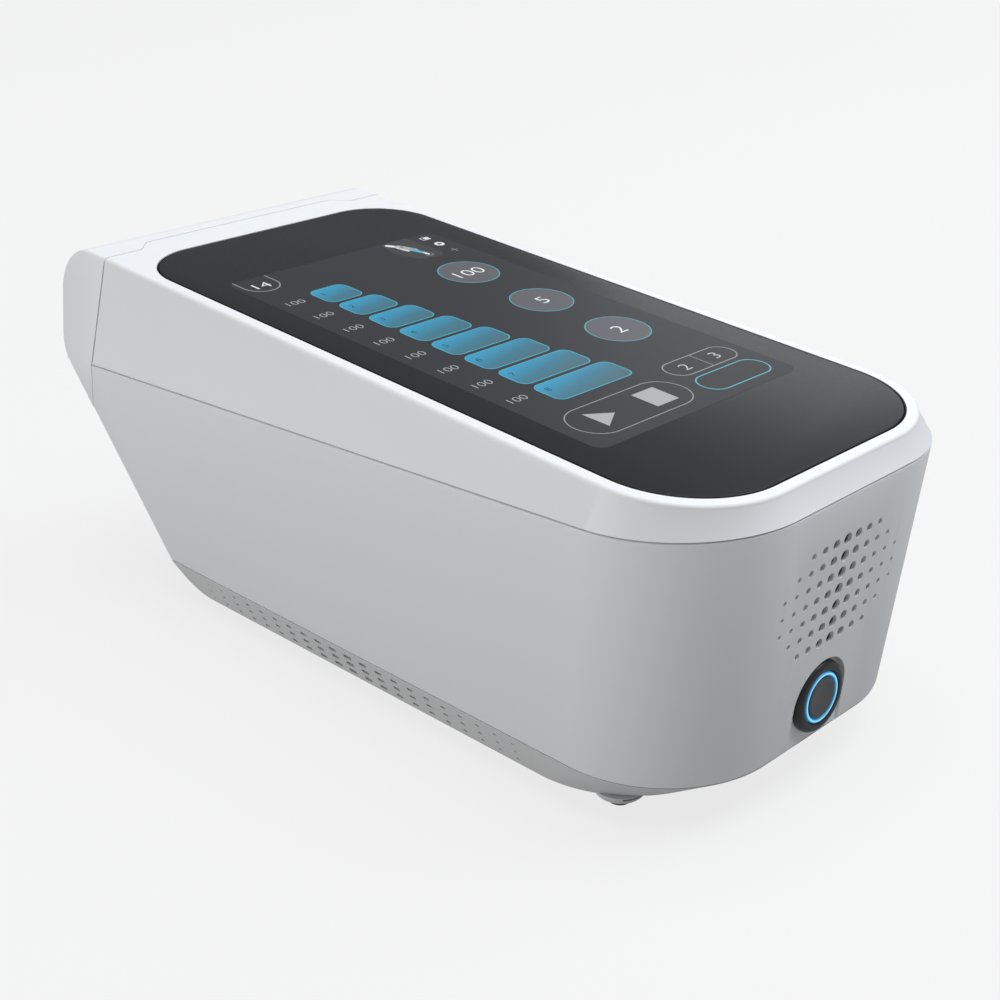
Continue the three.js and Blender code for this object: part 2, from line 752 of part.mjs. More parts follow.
// The pump heads fill the height between the mounts and the hoses, and their inner pieces follow
const headTopGap = 26.2;
const headFootGap = 4;
const endWallMargin = 1;
const diaphragmMargin = 2;
const headCavityWall = 6;
const endBoreMargin = 7;
const armaturePlateShare = 0.3846;
const armatureHeightShare = 0.3462;
const magnetMargin = 3;
const headRadius = (partingFrontHeight - compressorBase - headTopGap) / 2;
const compressorAxis = headRadius + headFootGap;
const endWallTop = headRadius + endWallMargin;
const endBore = headRadius - endBoreMargin;
const diaphragmRadius = headRadius - diaphragmMargin;
const headCavityRadius = headRadius - headCavityWall;
const coreHalfHeight = headRadius / 2;
const armaturePlateRadius = headRadius * armaturePlateShare;
const armatureHalfHeight = headRadius * armatureHeightShare;
const magnetHalfHeight = armatureHalfHeight - magnetMargin;

const cradleThickness = 1.6;
const cradleHeight = 8;
const batteryHeight = 21;
const batterySideGap = 4;
const batteryFrontGap = 1.2;
const batteryRearGap = 5.8;
const batteryWidth = 2 * (halfWidth - seatInset - seatRadius - cradleThickness - seamGap - batterySideGap);
const switchEnd = recessFloorY - bezelStand + lightRingDepth + seamGap + switchLength + switchTerminalLength;
const batteryFront = switchEnd + batteryFrontGap;
const batteryRear = compressorY - headAt - headLength - batteryRearGap;
const batteryLength = batteryRear - batteryFront;
const batteryY = (batteryFront + batteryRear) / 2;
const fanSize = 40;
const fanDepth = 10;
const fanInset = 20.7;
const fanSeatGap = 7.9;
const fanX = halfWidth - fanInset;
const fanY = rearY - footRearSetback - seatOffset - fanSeatGap - fanSize / 2;
const fanSlotHeight = 5;
const compressorLeft = -halfWidth + seatInset + seatRadius;
const compressorRight = fanX - fanDepth / 2 - seamGap - cradleThickness;
const compressorX = (compressorLeft + compressorRight) / 2;

const mountPlaces = [-1, 1].flatMap((i) => [-1, 1].map(
  (j) => [compressorX + i * compressorMountX, compressorY + j * compressorMountY]));

function cradle() {
  const x = batteryWidth / 2 + seamGap;
  const y = batteryLength / 2 + seamGap;
  const outer = block(
    -x - cradleThickness, x + cradleThickness, batteryY - y - cradleThickness, batteryY + y + cradleThickness,
    trayTop - trayFloor / 2, trayTop + cradleHeight);
  const inner = block(-x, x, batteryY - y, batteryY + y, 0, skirtHeight + cradleHeight);
  const notch = block(-x / 2, x / 2, frontY, rearY, trayTop, skirtHeight + cradleHeight);
  return cut(outer, inner, notch);
}

function fanSlot() {
  const x = fanDepth / 2 + seamGap;
  const y = fanSize / 2 + seamGap;
  const outer = block(
    fanX - x - cradleThickness, fanX + x + cradleThickness,
    fanY - y - cradleThickness, fanY + y + cradleThickness,
    trayTop - trayFloor / 2, trayTop + fanSlotHeight);
  const inner = block(fanX - x, fanX + x, fanY - y, fanY + y, 0, skirtHeight + fanSlotHeight);
  return cut(outer, inner);
}

function baseTray() {
  const shell = bandForm(0, trayClearance, bandTop).subtract(bandForm(wall, trayTop, bandTop + cutOver));
  const standInset = skirtInset + wall + seamGap;
  const stand = (inset, z0, z1) => {
    const ring = (z) => outline(
      halfWidth - inset, frontY + skirtSetback - skirtInset + inset, skirtCornerRadius + skirtInset - inset,
      level(z));
    return loft([ring(z0), ring(z1)]).intersect(profileSolid(inset - skirtInset, 0, 0));
  };
  const upstand = stand(standInset, bandTop - lipThickness / 2, skirtHeight + upstandRise)
    .subtract(stand(standInset + lipThickness, trayTop, skirtHeight + upstandRise + cutOver))
    .subtract(extrudeBack(
      archOutline(buttonPadWall + seamGap, trayTop), frontY,
      recessFloorY + buttonPadWall + nutThickness + 3 * seamGap));
  const step = bandForm(wall / 2, bandTop - lipThickness / 2, bandTop)
    .subtract(stand(standInset + lipThickness, trayTop, skirtHeight));
  const legs = footPlaces.map(([x, y]) => moved(turnedAboutZ(legProfile(), postSides), x, y, 0));
  const seats = traySeats.map(([x, y]) => join(
    post(x, y, trayTop - trayFloor / 2, skirtHeight + seatRise - seamGap, seatRadius),
    block(
      Math.min(x, Math.sign(x) * (halfWidth - skirtInset - 2 * wall)),
      Math.max(x, Math.sign(x) * (halfWidth - skirtInset - 2 * wall)),
      y - lipThickness, y + lipThickness, trayTop - trayFloor / 2, bandTop)));
  const pins = mountPlaces.map(([x, y]) => post(
    x, y, trayTop - trayFloor / 2, trayTop + mountHeight + 2 * seamGap + compressorPlate, mountPinRadius));
  const whole = join(shell, upstand, step, ...legs, ...seats, ...pins, cradle(), fanSlot());
  const shafts = traySeats.map(([x, y]) => join(
    post(x, y, 0, skirtHeight + seatRise + cutOver, screwRadius, boreSides),
    post(x, y, 0, seatCounterTop, screwHeadRadius + seamGap)));
  return cut(whole, ...ventSlots(), ...shafts);
}

// Pieces under the glass
function touchGlass() {
  return extrudeUp(glassOutline(0), -glassThickness, 0);
}

function glassGasket() {
  const top = -glassThickness - seamGap;
  return extrudeUp(
    glassOutline(-gasketEdge), top - gasketThickness, top, [displayOutline(displayClearance)]);
}

function displayPanel() {
  const top = -glassThickness - seamGap;
  const module = extrudeUp(displayOutline(0), top - displayThickness, top);
  const flexHalfWidth = displayWidth / 4;
  const flexStart = displayCentre - displayLength / 2;
  const recessEdge = displayThickness;
  const recess = block(
    -flexHalfWidth, flexHalfWidth, flexStart - cutOver, flexStart + recessEdge,
    top - displayThickness - cutOver, top - displayThickness / 2);
  return cut(module, recess);
}

function boardOutline() {
  return roundedRectangle(-boardHalfWidth, boardHalfWidth, boardFront, boardRear, boardCornerRadius, 2);
}

const boardTop = -boardDrop;
const boardUnder = boardTop - boardThickness;
const boardCornerRadius = 3;
const boardPartHeight = 7;

// Shield can, plugs and coils under the board: place across and along it, width and length
// as shares of its half width, and height
const boardPartShares = [
  [0, 0.505, 1, 1, 0.57],
  [-0.5, 0.12, 0.5, 0.15, 1],
  [0.5, 0.12, 0.33, 0.15, 1],
  [0.5, 0.92, 0.5, 0.15, 1],
  [0.7, 0.505, 0.23, 0.23, 1],
  [-0.7, 0.505, 0.23, 0.23, 1],
];

function mainBoard() {
  const plate = extrudeUp(
    boardOutline(), boardUnder, boardTop,
    boardPosts.map(([x, y]) => arc(x, y, screwRadius, 0, 2 * Math.PI, boreSides).slice(1)));
  const parts = boardPartShares.map(([across, along, wide, long, tall]) => {
    const x = across * boardHalfWidth;
    const y = THREE.MathUtils.lerp(boardFront, boardRear, along);
    const halfAcross = (wide * boardHalfWidth) / 2;
    const halfAlong = (long * boardHalfWidth) / 2;
    return block(
      x - halfAcross, x + halfAcross, y - halfAlong, y + halfAlong,
      boardUnder - tall * boardPartHeight, boardTop - boardThickness / 2);
  });
  return join(plate, ...parts);
}

// Battery pack: a block of cells in shrink wrap, which spans the valleys between them
const cellCount = 4;
const wrapTurn = THREE.MathUtils.degToRad(8.6);

function batteryPack() {
  const half = batteryWidth / 2;
  const pitch = batteryWidth / cellCount;
  const low = trayTop + seamGap;
  const radius = pitch / 2;
  const top = [];
  for (let i = cellCount - 1; i >= 0; i -= 1) {
    const centre = (i + 1) * pitch - radius - half;
    top.push(...arc(centre, low + batteryHeight - radius, radius, wrapTurn, Math.PI - wrapTurn, 6));
  }
  const outlinePoints = [
    new THREE.Vector2(-half + radius / 3, low),
    new THREE.Vector2(half - radius / 3, low),
    new THREE.Vector2(half, low + radius / 3),
    ...top,
    new THREE.Vector2(-half, low + radius / 3),
  ];
  return extrudeBack(outlinePoints, batteryY - batteryLength / 2, batteryY + batteryLength / 2);
}

const strapWidth = 12;
const strapThickness = 1.2;

function batteryStrap() {
  const half = batteryWidth / 2 + seamGap;
  const low = trayTop + seamGap;
  const top = low + batteryHeight + seamGap;
  const outer = roundedRectangle(
    -half - strapThickness, half + strapThickness, low, top + strapThickness, strapThickness * 2, 3);
  const inner = roundedRectangle(
    -half, half, low - strapWidth, top, strapThickness, 2);
  const band = extrudeBack(outer, batteryY - strapWidth / 2, batteryY + strapWidth / 2)
    .subtract(extrudeBack(inner, batteryY - strapWidth, batteryY + strapWidth));
  const clear = cradleThickness + 2 * seamGap;
  const footing = block(-bodyWidth, bodyWidth, frontY, rearY, 0, trayTop + cradleHeight + seamGap);
  return cut(band, footing.intersect(block(
    -half - strapThickness - clear, half + strapThickness + clear, frontY, rearY, 0, tallest)));
}

// Power button, built round its own axis: y = 0 on the face and +y into the body
function buttonBezel() {
  return turnedAboutY([
    [bezelBoreRadius, 0],
    [bezelFaceRadius, 0],
    [THREE.MathUtils.lerp(bezelFaceRadius, bezelBaseRadius, bezelCurveShare), bezelShoulder / 3],
    [bezelBaseRadius, bezelShoulder],
    [bezelBaseRadius, bezelStand - seamGap],
    [barrelRadius, bezelStand - seamGap],
    [barrelRadius, bezelStand + barrelLength],
    [bezelBoreRadius, bezelStand + barrelLength],
    [bezelBoreRadius, 0],
  ], fineSides);
}

function lightRing() {
  return turnedAboutY([
    [lightRingInnerRadius, 0],
    [lightRingOuterRadius, 0],
    [lightRingOuterRadius, lightRingDepth],
    [lightRingInnerRadius, lightRingDepth],
    [lightRingInnerRadius, 0],
  ], fineSides);
}

function buttonCap() {
  return turnedAboutY([
    [0, 0],
    [capRadius, 0],
    [capRadius, capThickness],
    [capStemRadius, capThickness],
    [capStemRadius, capThickness + capStemLength],
    [0, capThickness + capStemLength],
  ], fineSides);
}

function switchBody() {
  const start = lightRingDepth + seamGap;
  const bore = capStemRadius + seamGap;
  const boreEnd = capThickness + capStemLength + capTravel + seamGap;
  const end = start + switchLength;
  const body = turnedAboutY([
    [bore, start],
    [lightRingOuterRadius, start],
    [lightRingOuterRadius, end],
    [0, end],
    [0, boreEnd],
    [bore, boreEnd],
    [bore, start],
  ], innerSides);
  const pins = [-1, 0, 1].map((i) => rod(
    (i * lightRingOuterRadius) / 2, 0, end - cutOver, end + switchTerminalLength,
    switchTerminalRadius, boreSides));
  return join(body, ...pins);
}

function buttonNut() {
  const hex = arc(0, 0, nutRadius, 0, 2 * Math.PI, boreSides).slice(1);
  const hole = arc(0, 0, barrelRadius + seamGap, 0, 2 * Math.PI, fineSides).slice(1);
  return extrudeBack(hex, 0, nutThickness, [hole]);
}

// Speaker, built round its own axis: y = 0 on the front of the frame and +y into the body
const speakerFlange = 1.5;
const speakerDepth = 9;
const speakerRim = 3;
const coneRadius = speakerRadius - speakerRim;
const coneWall = 0.8;
const magnetRadiusShare = 0.625;
const magnetRadius = coneRadius * magnetRadiusShare;
const magnetLength = 7;

function speakerFrame() {
  const back = speakerDepth + magnetLength;
  return turnedAboutY([
    [coneRadius + seamGap, 0],
    [speakerRadius, 0],
    [speakerRadius, speakerFlange],
    [coneRadius + coneWall, speakerFlange],
    [magnetRadius, speakerDepth],
    [magnetRadius, back],
    [0, back],
    [0, back - magnetLength / 2],
    [magnetRadius / 2, back - magnetLength / 2],
    [magnetRadius / 2, speakerDepth - speakerFlange],
    [magnetRadius, speakerDepth - speakerFlange],
    [coneRadius + seamGap, speakerFlange],
    [coneRadius + seamGap, 0],
  ], innerSides);
}

function speakerCone() {
  const deep = speakerDepth - 2 * speakerFlange;
  return turnedAboutY([
    [0, deep - coneWall],
    [magnetRadius / 3, deep / 2],
    [magnetRadius - coneWall, deep - coneWall],
    [coneRadius - coneWall, 0],
    [coneRadius, 0],
    [coneRadius, coneWall],
    [magnetRadius - seamGap, deep],
    [magnetRadius / 2 - seamGap, deep + coneWall],
    [magnetRadius / 2 - seamGap, speakerDepth],
    [0, speakerDepth],
  ], innerSides);
}

// Compressor: an oscillating armature between two coils drives a diaphragm at each end.
// Built round its base plate: x across, y along, z up from the plate's underside.

function compressorMount(side) {
  const x = compressorX + side * compressorMountX;
  const reach = compressorMountY + mountRadius;
  const plan = roundedRectangle(
    x - mountRadius, x + mountRadius, compressorY - reach, compressorY + reach, mountRadius, 3);
  const rail = extrudeUp(plan, trayTop + seamGap, trayTop + seamGap + mountHeight);
  const holes = mountPlaces.map(([holeX, holeY]) => post(
    holeX, holeY, trayTop, trayTop + 2 * mountHeight, mountPinRadius + seamGap));
  return cut(rail, ...holes);
}

function compressorFrame() {
  const plate = block(
    -compressorHalfWidth, compressorHalfWidth, -compressorHalfPlate, compressorHalfPlate, 0, compressorPlate);
  const holes = [-1, 1].flatMap((i) => [-1, 1].map((j) => post(
    i * compressorMountX, j * compressorMountY, -cutOver, compressorPlate + cutOver,
    mountPinRadius + seamGap)));
  const walls = [-1, 1].map((side) => {
    const near = side * endWallAt;
    const far = side * (endWallAt + endWallThickness);
    const panel = roundedRectangle(
      -endWallTop, endWallTop, compressorPlate / 2, compressorAxis + endWallTop, endWallTop / 2, 2);
    const bore = arc(0, compressorAxis, endBore, 0, 2 * Math.PI, innerSides).slice(1);
    return extrudeBack(panel, Math.min(near, far), Math.max(near, far), [bore]);
  });
  const rest = compressorAxis - coreHalfHeight - seamGap;
  const pedestals = [-1, 1].flatMap((i) => [-1, 1].map((j) => {
    const inner = i * (armatureHalfThickness + poleGap + coreLeg / 2);
    const outer = i * (armatureHalfThickness + poleGap + coreDepth);
    const near = j * (coreHalfLength - coreLeg);
    const far = j * coreHalfLength;
    return block(
      Math.min(inner, outer), Math.max(inner, outer), Math.min(near, far), Math.max(near, far),
      compressorPlate / 2, rest);
  }));
  return cut(join(plate, ...walls, ...pedestals), ...holes);
}

function magnetCore(side) {
  const face = armatureHalfThickness + poleGap;
  const back = face + coreDepth;
  const leg = coreLeg / 2;
  const plan = [
    [face, -coreHalfLength], [back, -coreHalfLength], [back, coreHalfLength], [face, coreHalfLength],
    [face, coreHalfLength - coreLeg], [back - coreBack, coreHalfLength - coreLeg], [back - coreBack, leg],
    [face, leg], [face, -leg], [back - coreBack, -leg],
    [back - coreBack, -coreHalfLength + coreLeg], [face, -coreHalfLength + coreLeg],
  ].map(([x, y]) => new THREE.Vector2(side * x, y));
  return extrudeUp(plan, compressorAxis - coreHalfHeight, compressorAxis + coreHalfHeight);
}

function coil(side) {
  const leg = coreLeg / 2 + seamGap;
  const high = coreHalfHeight + seamGap;
  const from = armatureHalfThickness + 2 * poleGap;
  const to = armatureHalfThickness + poleGap + coreDepth - coreBack - seamGap;
  const outer = roundedRectangle(
    -leg - coilThickness, leg + coilThickness, compressorAxis - high - coilThickness,
    compressorAxis + high + coilThickness, coilThickness, 3);
  const inner = roundedRectangle(-leg, leg, compressorAxis - high, compressorAxis + high, seamGap, 1);
  const ring = extrudeAcross(outer, from, to).subtract(extrudeAcross(inner, from - cutOver, to + cutOver));
  return side > 0 ? ring : placed(ring, new THREE.Matrix4().makeRotationZ(Math.PI));
}

function armature() {
  const end = headAt + armaturePlateThickness / 2;
  const bar = block(
    -armatureHalfThickness, armatureHalfThickness, -end + cutOver, end - cutOver,
    compressorAxis - armatureHalfHeight, compressorAxis + armatureHalfHeight);
  const discs = [-1, 1].map((side) => rod(
    0, compressorAxis, Math.min(side * end, side * (end - armaturePlateThickness)),
    Math.max(side * end, side * (end - armaturePlateThickness)), armaturePlateRadius, innerSides));
  const slot = block(
    -2 * armatureHalfThickness, 2 * armatureHalfThickness, -magnetSlotHalfLength, magnetSlotHalfLength,
    compressorAxis - magnetHalfHeight, compressorAxis + magnetHalfHeight);
  return cut(join(bar, ...discs), slot);
}

function armatureMagnet() {
  const high = magnetHalfHeight - seamGap;
  const far = magnetSlotHalfLength - seamGap;
  return block(
    -armatureHalfThickness, armatureHalfThickness, -far, far, compressorAxis - high, compressorAxis + high);
}

function diaphragm(side) {
  const inner = armaturePlateRadius + seamGap;
  const near = diaphragmAt;
  const far = diaphragmAt + diaphragmThickness;
  const roll = (inner + endBore) / 2;
  const ring = turnedAboutY([
    [inner, near],
    [roll - diaphragmThickness, near],
    [roll, near - diaphragmThickness],
    [roll + diaphragmThickness, near],
    [diaphragmRadius, near],
    [diaphragmRadius, far],
    [roll + diaphragmThickness, far],
    [roll, far - diaphragmThickness],
    [inner, far],
    [inner, near],
  ], innerSides);
  const flip = side > 0 ? new THREE.Matrix4() : new THREE.Matrix4().makeRotationZ(Math.PI);
  return moved(placed(ring, flip), 0, 0, compressorAxis);
}

function pumpHead(side) {
  const cup = turnedAboutY([
    [0, headAt + headCavityDepth],
    [headCavityRadius, headAt + headCavityDepth],
    [headCavityRadius, headAt],
    [headRadius, headAt],
    [headRadius, headAt + headLength * headSideShare],
    [headRadius * headCrownShare, headAt + headLength],
    [0, headAt + headLength],
  ], innerSides);
  const barbY = headAt + headLength * barbShare;
  const ductZ = headCavityRadius * ductShare;
  const spout = post(0, barbY, headCavityRadius, headRadius + barbLength, barbRadius);
  const drill = post(0, barbY, ductZ - barbBore, headRadius + barbLength + cutOver, barbBore, boreSides);
  const duct = rod(0, ductZ, headAt + headCavityDepth - cutOver, barbY + barbBore, barbBore, boreSides);
  const flip = side > 0 ? new THREE.Matrix4() : new THREE.Matrix4().makeRotationZ(Math.PI);
  return moved(placed(cut(join(cup, spout), drill, duct), flip), 0, 0, compressorAxis);
}

// Valve bank: one normally closed valve for each air chamber
const chamberCount = 8;
const manifoldEdge = 1.6;
const valveGap = 0.6;
const valvePitch = (2 * (manifoldHalfWidth - manifoldEdge)) / chamberCount;
const valveHalfWidth = valvePitch / 2 - valveGap;
const valveHalfLength = 7;
const valveTall = 20;
const plungerRadius = 2.6;
const plungerLength = 14;
const plungerTravel = 1;
const plungerTipShare = 0.6;
const yokeSlabShare = 0.15;
const pilotDepthShare = 0.2;
const outletOffsets = Array.from(
  { length: nippleCount }, (_, i) => (i - (nippleCount - 1) / 2) * nipplePitch);
const outletXs = [-socketCentreX, socketCentreX].flatMap((x) => outletOffsets.map((offset) => x + offset));
const inletPlaceShares = [-0.4167, 0.0417];
const inletXs = inletPlaceShares.map((share) => share * manifoldHalfWidth);
const galleryRadius = 2.4;
const valveXs = Array.from({ length: chamberCount }, (_, i) => (i - (chamberCount - 1) / 2) * valvePitch);

const barb = (x, from, to) => rod(x, socketHeight, from, to, barbRadius, boreSides);
const barbDrill = (x, from, to) => rod(x, socketHeight, from, to, barbBore, pinholeSides);

function valveManifold() {
  const front = manifoldY - manifoldLong / 2;
  const rear = manifoldY + manifoldLong / 2;
  const body = block(
    -manifoldHalfWidth, manifoldHalfWidth, front, rear, manifoldHeight, manifoldHeight + manifoldTall);
  const outlets = outletXs.map((x) => barb(x, rear - cutOver, rear + barbLength));
  const inlets = inletXs.map((x) => barb(x, front - barbLength, front + cutOver));
  const bores = [
    ...outletXs.map((x) => barbDrill(x, rear - barbLength, rear + barbLength + cutOver)),
    ...inletXs.map((x) => barbDrill(x, front - barbLength - cutOver, front + barbLength)),
  ];
  const gallery = placed(
    post(0, 0, -bodyWidth / 2, bodyWidth / 2, galleryRadius),
    new THREE.Matrix4().makeTranslation(0, manifoldY, manifoldHeight + manifoldTall / 2)
      .multiply(new THREE.Matrix4().makeRotationY(Math.PI / 2)));
  const top = manifoldHeight + manifoldTall;
  const pilots = [-manifoldHangerX, manifoldHangerX].map((x) => post(
    x, manifoldY, top - manifoldTall * pilotDepthShare, top + cutOver, screwShankRadius, boreSides));
  return cut(join(body, ...outlets, ...inlets), ...bores, gallery, ...pilots);
}

// One valve's yoke and winding, open at the top for its plunger: z = 0 at the manifold's underside
function valveBody() {
  const top = -seamGap;
  const half = valveHalfLength;
  const slab = valveTall * yokeSlabShare;
  const yoke = extrudeAcross([
    new THREE.Vector2(-half, top),
    new THREE.Vector2(-half, top - valveTall),
    new THREE.Vector2(half, top - valveTall),
    new THREE.Vector2(half, top - valveTall + slab),
    new THREE.Vector2(0, top - valveTall + slab),
    new THREE.Vector2(0, top - slab),
    new THREE.Vector2(half, top - slab),
    new THREE.Vector2(half, top),
  ], -valveHalfWidth, valveHalfWidth);
  const winding = post(
    0, 0, top - valveTall + slab / 2, top - slab / 2, valveHalfWidth - seamGap, innerSides);
  const bore = post(
    0, 0, top - plungerLength - plungerTravel - seamGap, top + cutOver, plungerRadius + seamGap);
  return cut(join(yoke, winding), bore);
}

function valvePlunger() {
  const top = -seamGap;
  return turnedAboutZ([
    [0, top - plungerLength],
    [plungerRadius, top - plungerLength],
    [plungerRadius, top - plungerRadius / 2],
    [plungerRadius * plungerTipShare, top],
    [0, top],
  ], postSides);
}

// Hose sockets in the rear cover: a cup with four nipples, and barbs behind for the inner hoses
const socketDepth = 13;
const socketFlange = 2.2;
const nippleLength = 6;

function innerForm() {
  const inset = wall + seamGap;
  return join(upperForm(inset, inset, cutOver), lowerForm(inset, -cutOver, cutOver));
}

function hoseSocket(x) {
  const face = rearY - seamGap;
  const back = face - socketDepth;
  const seat = rearY - wall - seamGap;
  const cup = extrudeBack(socketOutline(x, 0), back, face);
  const hollow = extrudeBack(socketOutline(x, -socketWall), back + socketWall, face + cutOver);
  const flange = extrudeBack(socketOutline(x, socketFlange), seat - socketFlange, seat)
    .intersect(innerForm());
  const tip = back + socketWall + nippleLength;
  const nipples = outletOffsets.map((offset) => barb(x + offset, back - barbLength, tip));
  const bores = outletOffsets.map(
    (offset) => barbDrill(x + offset, back - barbLength - cutOver, tip + cutOver));
  return cut(join(cut(join(cup, flange), hollow), ...nipples), ...bores);
}

const inletBore = 4.3;
const inletDepth = 11;
const inletLength = 15;
const inletPinRadius = 1;
const inletPinLength = 5;

function powerInlet() {
  const face = rearY - seamGap;
  const seat = rearY - wall - seamGap;
  const barrel = rod(0, socketHeight, face - inletLength, face, inletRadius, roundSides);
  const flange = rod(0, socketHeight, seat - socketFlange, seat, inletFlangeRadius, roundSides)
    .intersect(innerForm());
  const bore = rod(0, socketHeight, face - inletDepth, face + cutOver, inletBore, roundSides);
  const pin = rod(
    0, socketHeight, face - inletDepth - cutOver, face - inletDepth + inletPinLength, inletPinRadius,
    boreSides);
  return join(cut(join(barrel, flange), bore), pin);
}

// Inner hoses
const hoseWall = 1.1;
const hoseRadius = barbRadius + seamGap + hoseWall;
const ribbonBond = 0.1;

// Four outlet hoses bonded side by side, from the manifold to one socket
function outletRibbon(socketX) {
  const from = manifoldY + manifoldLong / 2 + seamGap;
  const to = rearY - 2 * seamGap - socketDepth;
  const bore = barbRadius + seamGap;
  const places = outletOffsets.map((offset) => socketX + offset);
  const tubes = places.map((x) => rod(x, socketHeight, from, to, nipplePitch / 2 + ribbonBond));
  const bores = places.map((x) => rod(x, socketHeight, from - cutOver, to + cutOver, bore));
  return cut(join(...tubes), ...bores);
}

function hoseAlong(points, steps) {
  const path = new THREE.CatmullRomCurve3(points.map((p) => new THREE.Vector3(...p)), false, 'centripetal');
  const section = new THREE.Shape(arc(0, 0, hoseRadius, 0, 2 * Math.PI, boreSides).slice(1));
  return toSolid(new THREE.ExtrudeGeometry(section, { steps, bevelEnabled: false, extrudePath: path }));
}

// The way from a pump head to the manifold, as shares of the run across, back and up
const frontRunShares = [[0, 0.015, 0.28], [0.04, 0.06, 0.45], [0.5, 0.5, 0.5], [0.96, 0.88, 0.58]];
const rearRunShares = [[0.15, 0.12, 0.72], [0.5, 0.5, 0.9], [0.9, 0.88, 0.98]];

function pressureHose(headSide, manifoldX, runShares, steps) {
  const startY = compressorY + headSide * (headAt + barbShare * headLength);
  const low = compressorBase + compressorAxis + headRadius + seamGap;
  const end = manifoldY - manifoldLong / 2 - seamGap;
  const run = runShares.map(([across, back, up]) => [
    THREE.MathUtils.lerp(compressorX, manifoldX, across),
    THREE.MathUtils.lerp(startY, end - barbSleeve, back),
    THREE.MathUtils.lerp(low + barbSleeve, socketHeight, up),
  ]);
  const hose = hoseAlong([
    [compressorX, startY, low],
    [compressorX, startY, low + barbSleeve / 2],
    [compressorX, startY, low + barbSleeve],
    ...run,
    [manifoldX, end - barbSleeve, socketHeight],
    [manifoldX, end - barbSleeve / 2, socketHeight],
    [manifoldX, end, socketHeight],
  ], steps);
  return cut(
    hose,
    post(compressorX, startY, low - cutOver, low + barbSleeve, barbRadius + seamGap),
    rod(manifoldX, socketHeight, end - barbSleeve, end + cutOver, barbRadius + seamGap));
}

// Cooling fan, built round its axis: z = 0 on the spider's face
const fanBore = 18.6;
const fanHubRadius = 8;
const fanSpiderThickness = 1.5;
const fanBearingRadius = 3;
const fanBearingLength = 4;
const fanBladeCount = 7;
const fanBladeRadius = 17.8;
const fanBladeThickness = 1.1;
const fanBladePitch = THREE.MathUtils.degToRad(38);
const fanCornerRadius = 3;

function fanFrame() {
  const half = fanSize / 2;
  const ring = (radius, sides) => arc(0, 0, radius, 0, 2 * Math.PI, sides).slice(1);
  const square = roundedRectangle(-half, half, -half, half, fanCornerRadius, 3);
  const body = extrudeUp(square, 0, fanDepth, [ring(fanBore, 2 * fanBladeCount)]);
  const struts = [0, 1, 2].map((i) => placed(
    block(-fanBladeThickness, fanBladeThickness, 0, fanBore + cutOver, 0, fanSpiderThickness),
    new THREE.Matrix4().makeRotationZ((i * 2 * Math.PI) / 3)));
  const hub = extrudeUp(ring(fanHubRadius, roundSides), 0, fanSpiderThickness);
  const bearing = extrudeUp(ring(fanBearingRadius, postSides), 0, fanSpiderThickness + fanBearingLength);
  return join(body, ...struts, hub, bearing);
}

function fanRotor() {
  const low = fanSpiderThickness + seamGap;
  const high = fanDepth - seamGap;
  const hub = post(0, 0, low, high, fanHubRadius, roundSides);
  const bore = post(
    0, 0, low - cutOver, fanSpiderThickness + fanBearingLength + seamGap, fanBearingRadius + seamGap);
  const sweep = post(0, 0, low, high, fanBladeRadius, 2 * fanBladeCount);
  const blades = Array.from({ length: fanBladeCount }, (_, i) => {
    const tall = (high - low) / Math.cos(fanBladePitch);
    const geometry = new THREE.BoxGeometry(2 * fanHubRadius + fanBladeRadius, fanBladeThickness, tall);
    geometry.rotateX(fanBladePitch);
    geometry.translate(fanHubRadius + fanBladeRadius / 2 - cutOver, 0, (low + high) / 2);
    geometry.rotateZ((i * 2 * Math.PI) / fanBladeCount);
    return toSolid(geometry);
  });
  const clear = post(0, 0, low - cutOver, high + cutOver, fanHubRadius - cutOver);
  const vanes = wasm.Manifold.union(blades).intersect(sweep).subtract(clear);
  return cut(join(hub, vanes), bore);
}

function footPad() {
  return turnedAboutZ([
    [0, 0],
    [padRadius - padEdge, 0],
    [padRadius, padEdge],
    [padRadius, padHeight],
    [0, padHeight],
  ], postSides);
}

function finish(name, color, roughness, metalness) {
  return new THREE.MeshStandardMaterial({ name, color, roughness, metalness });
}

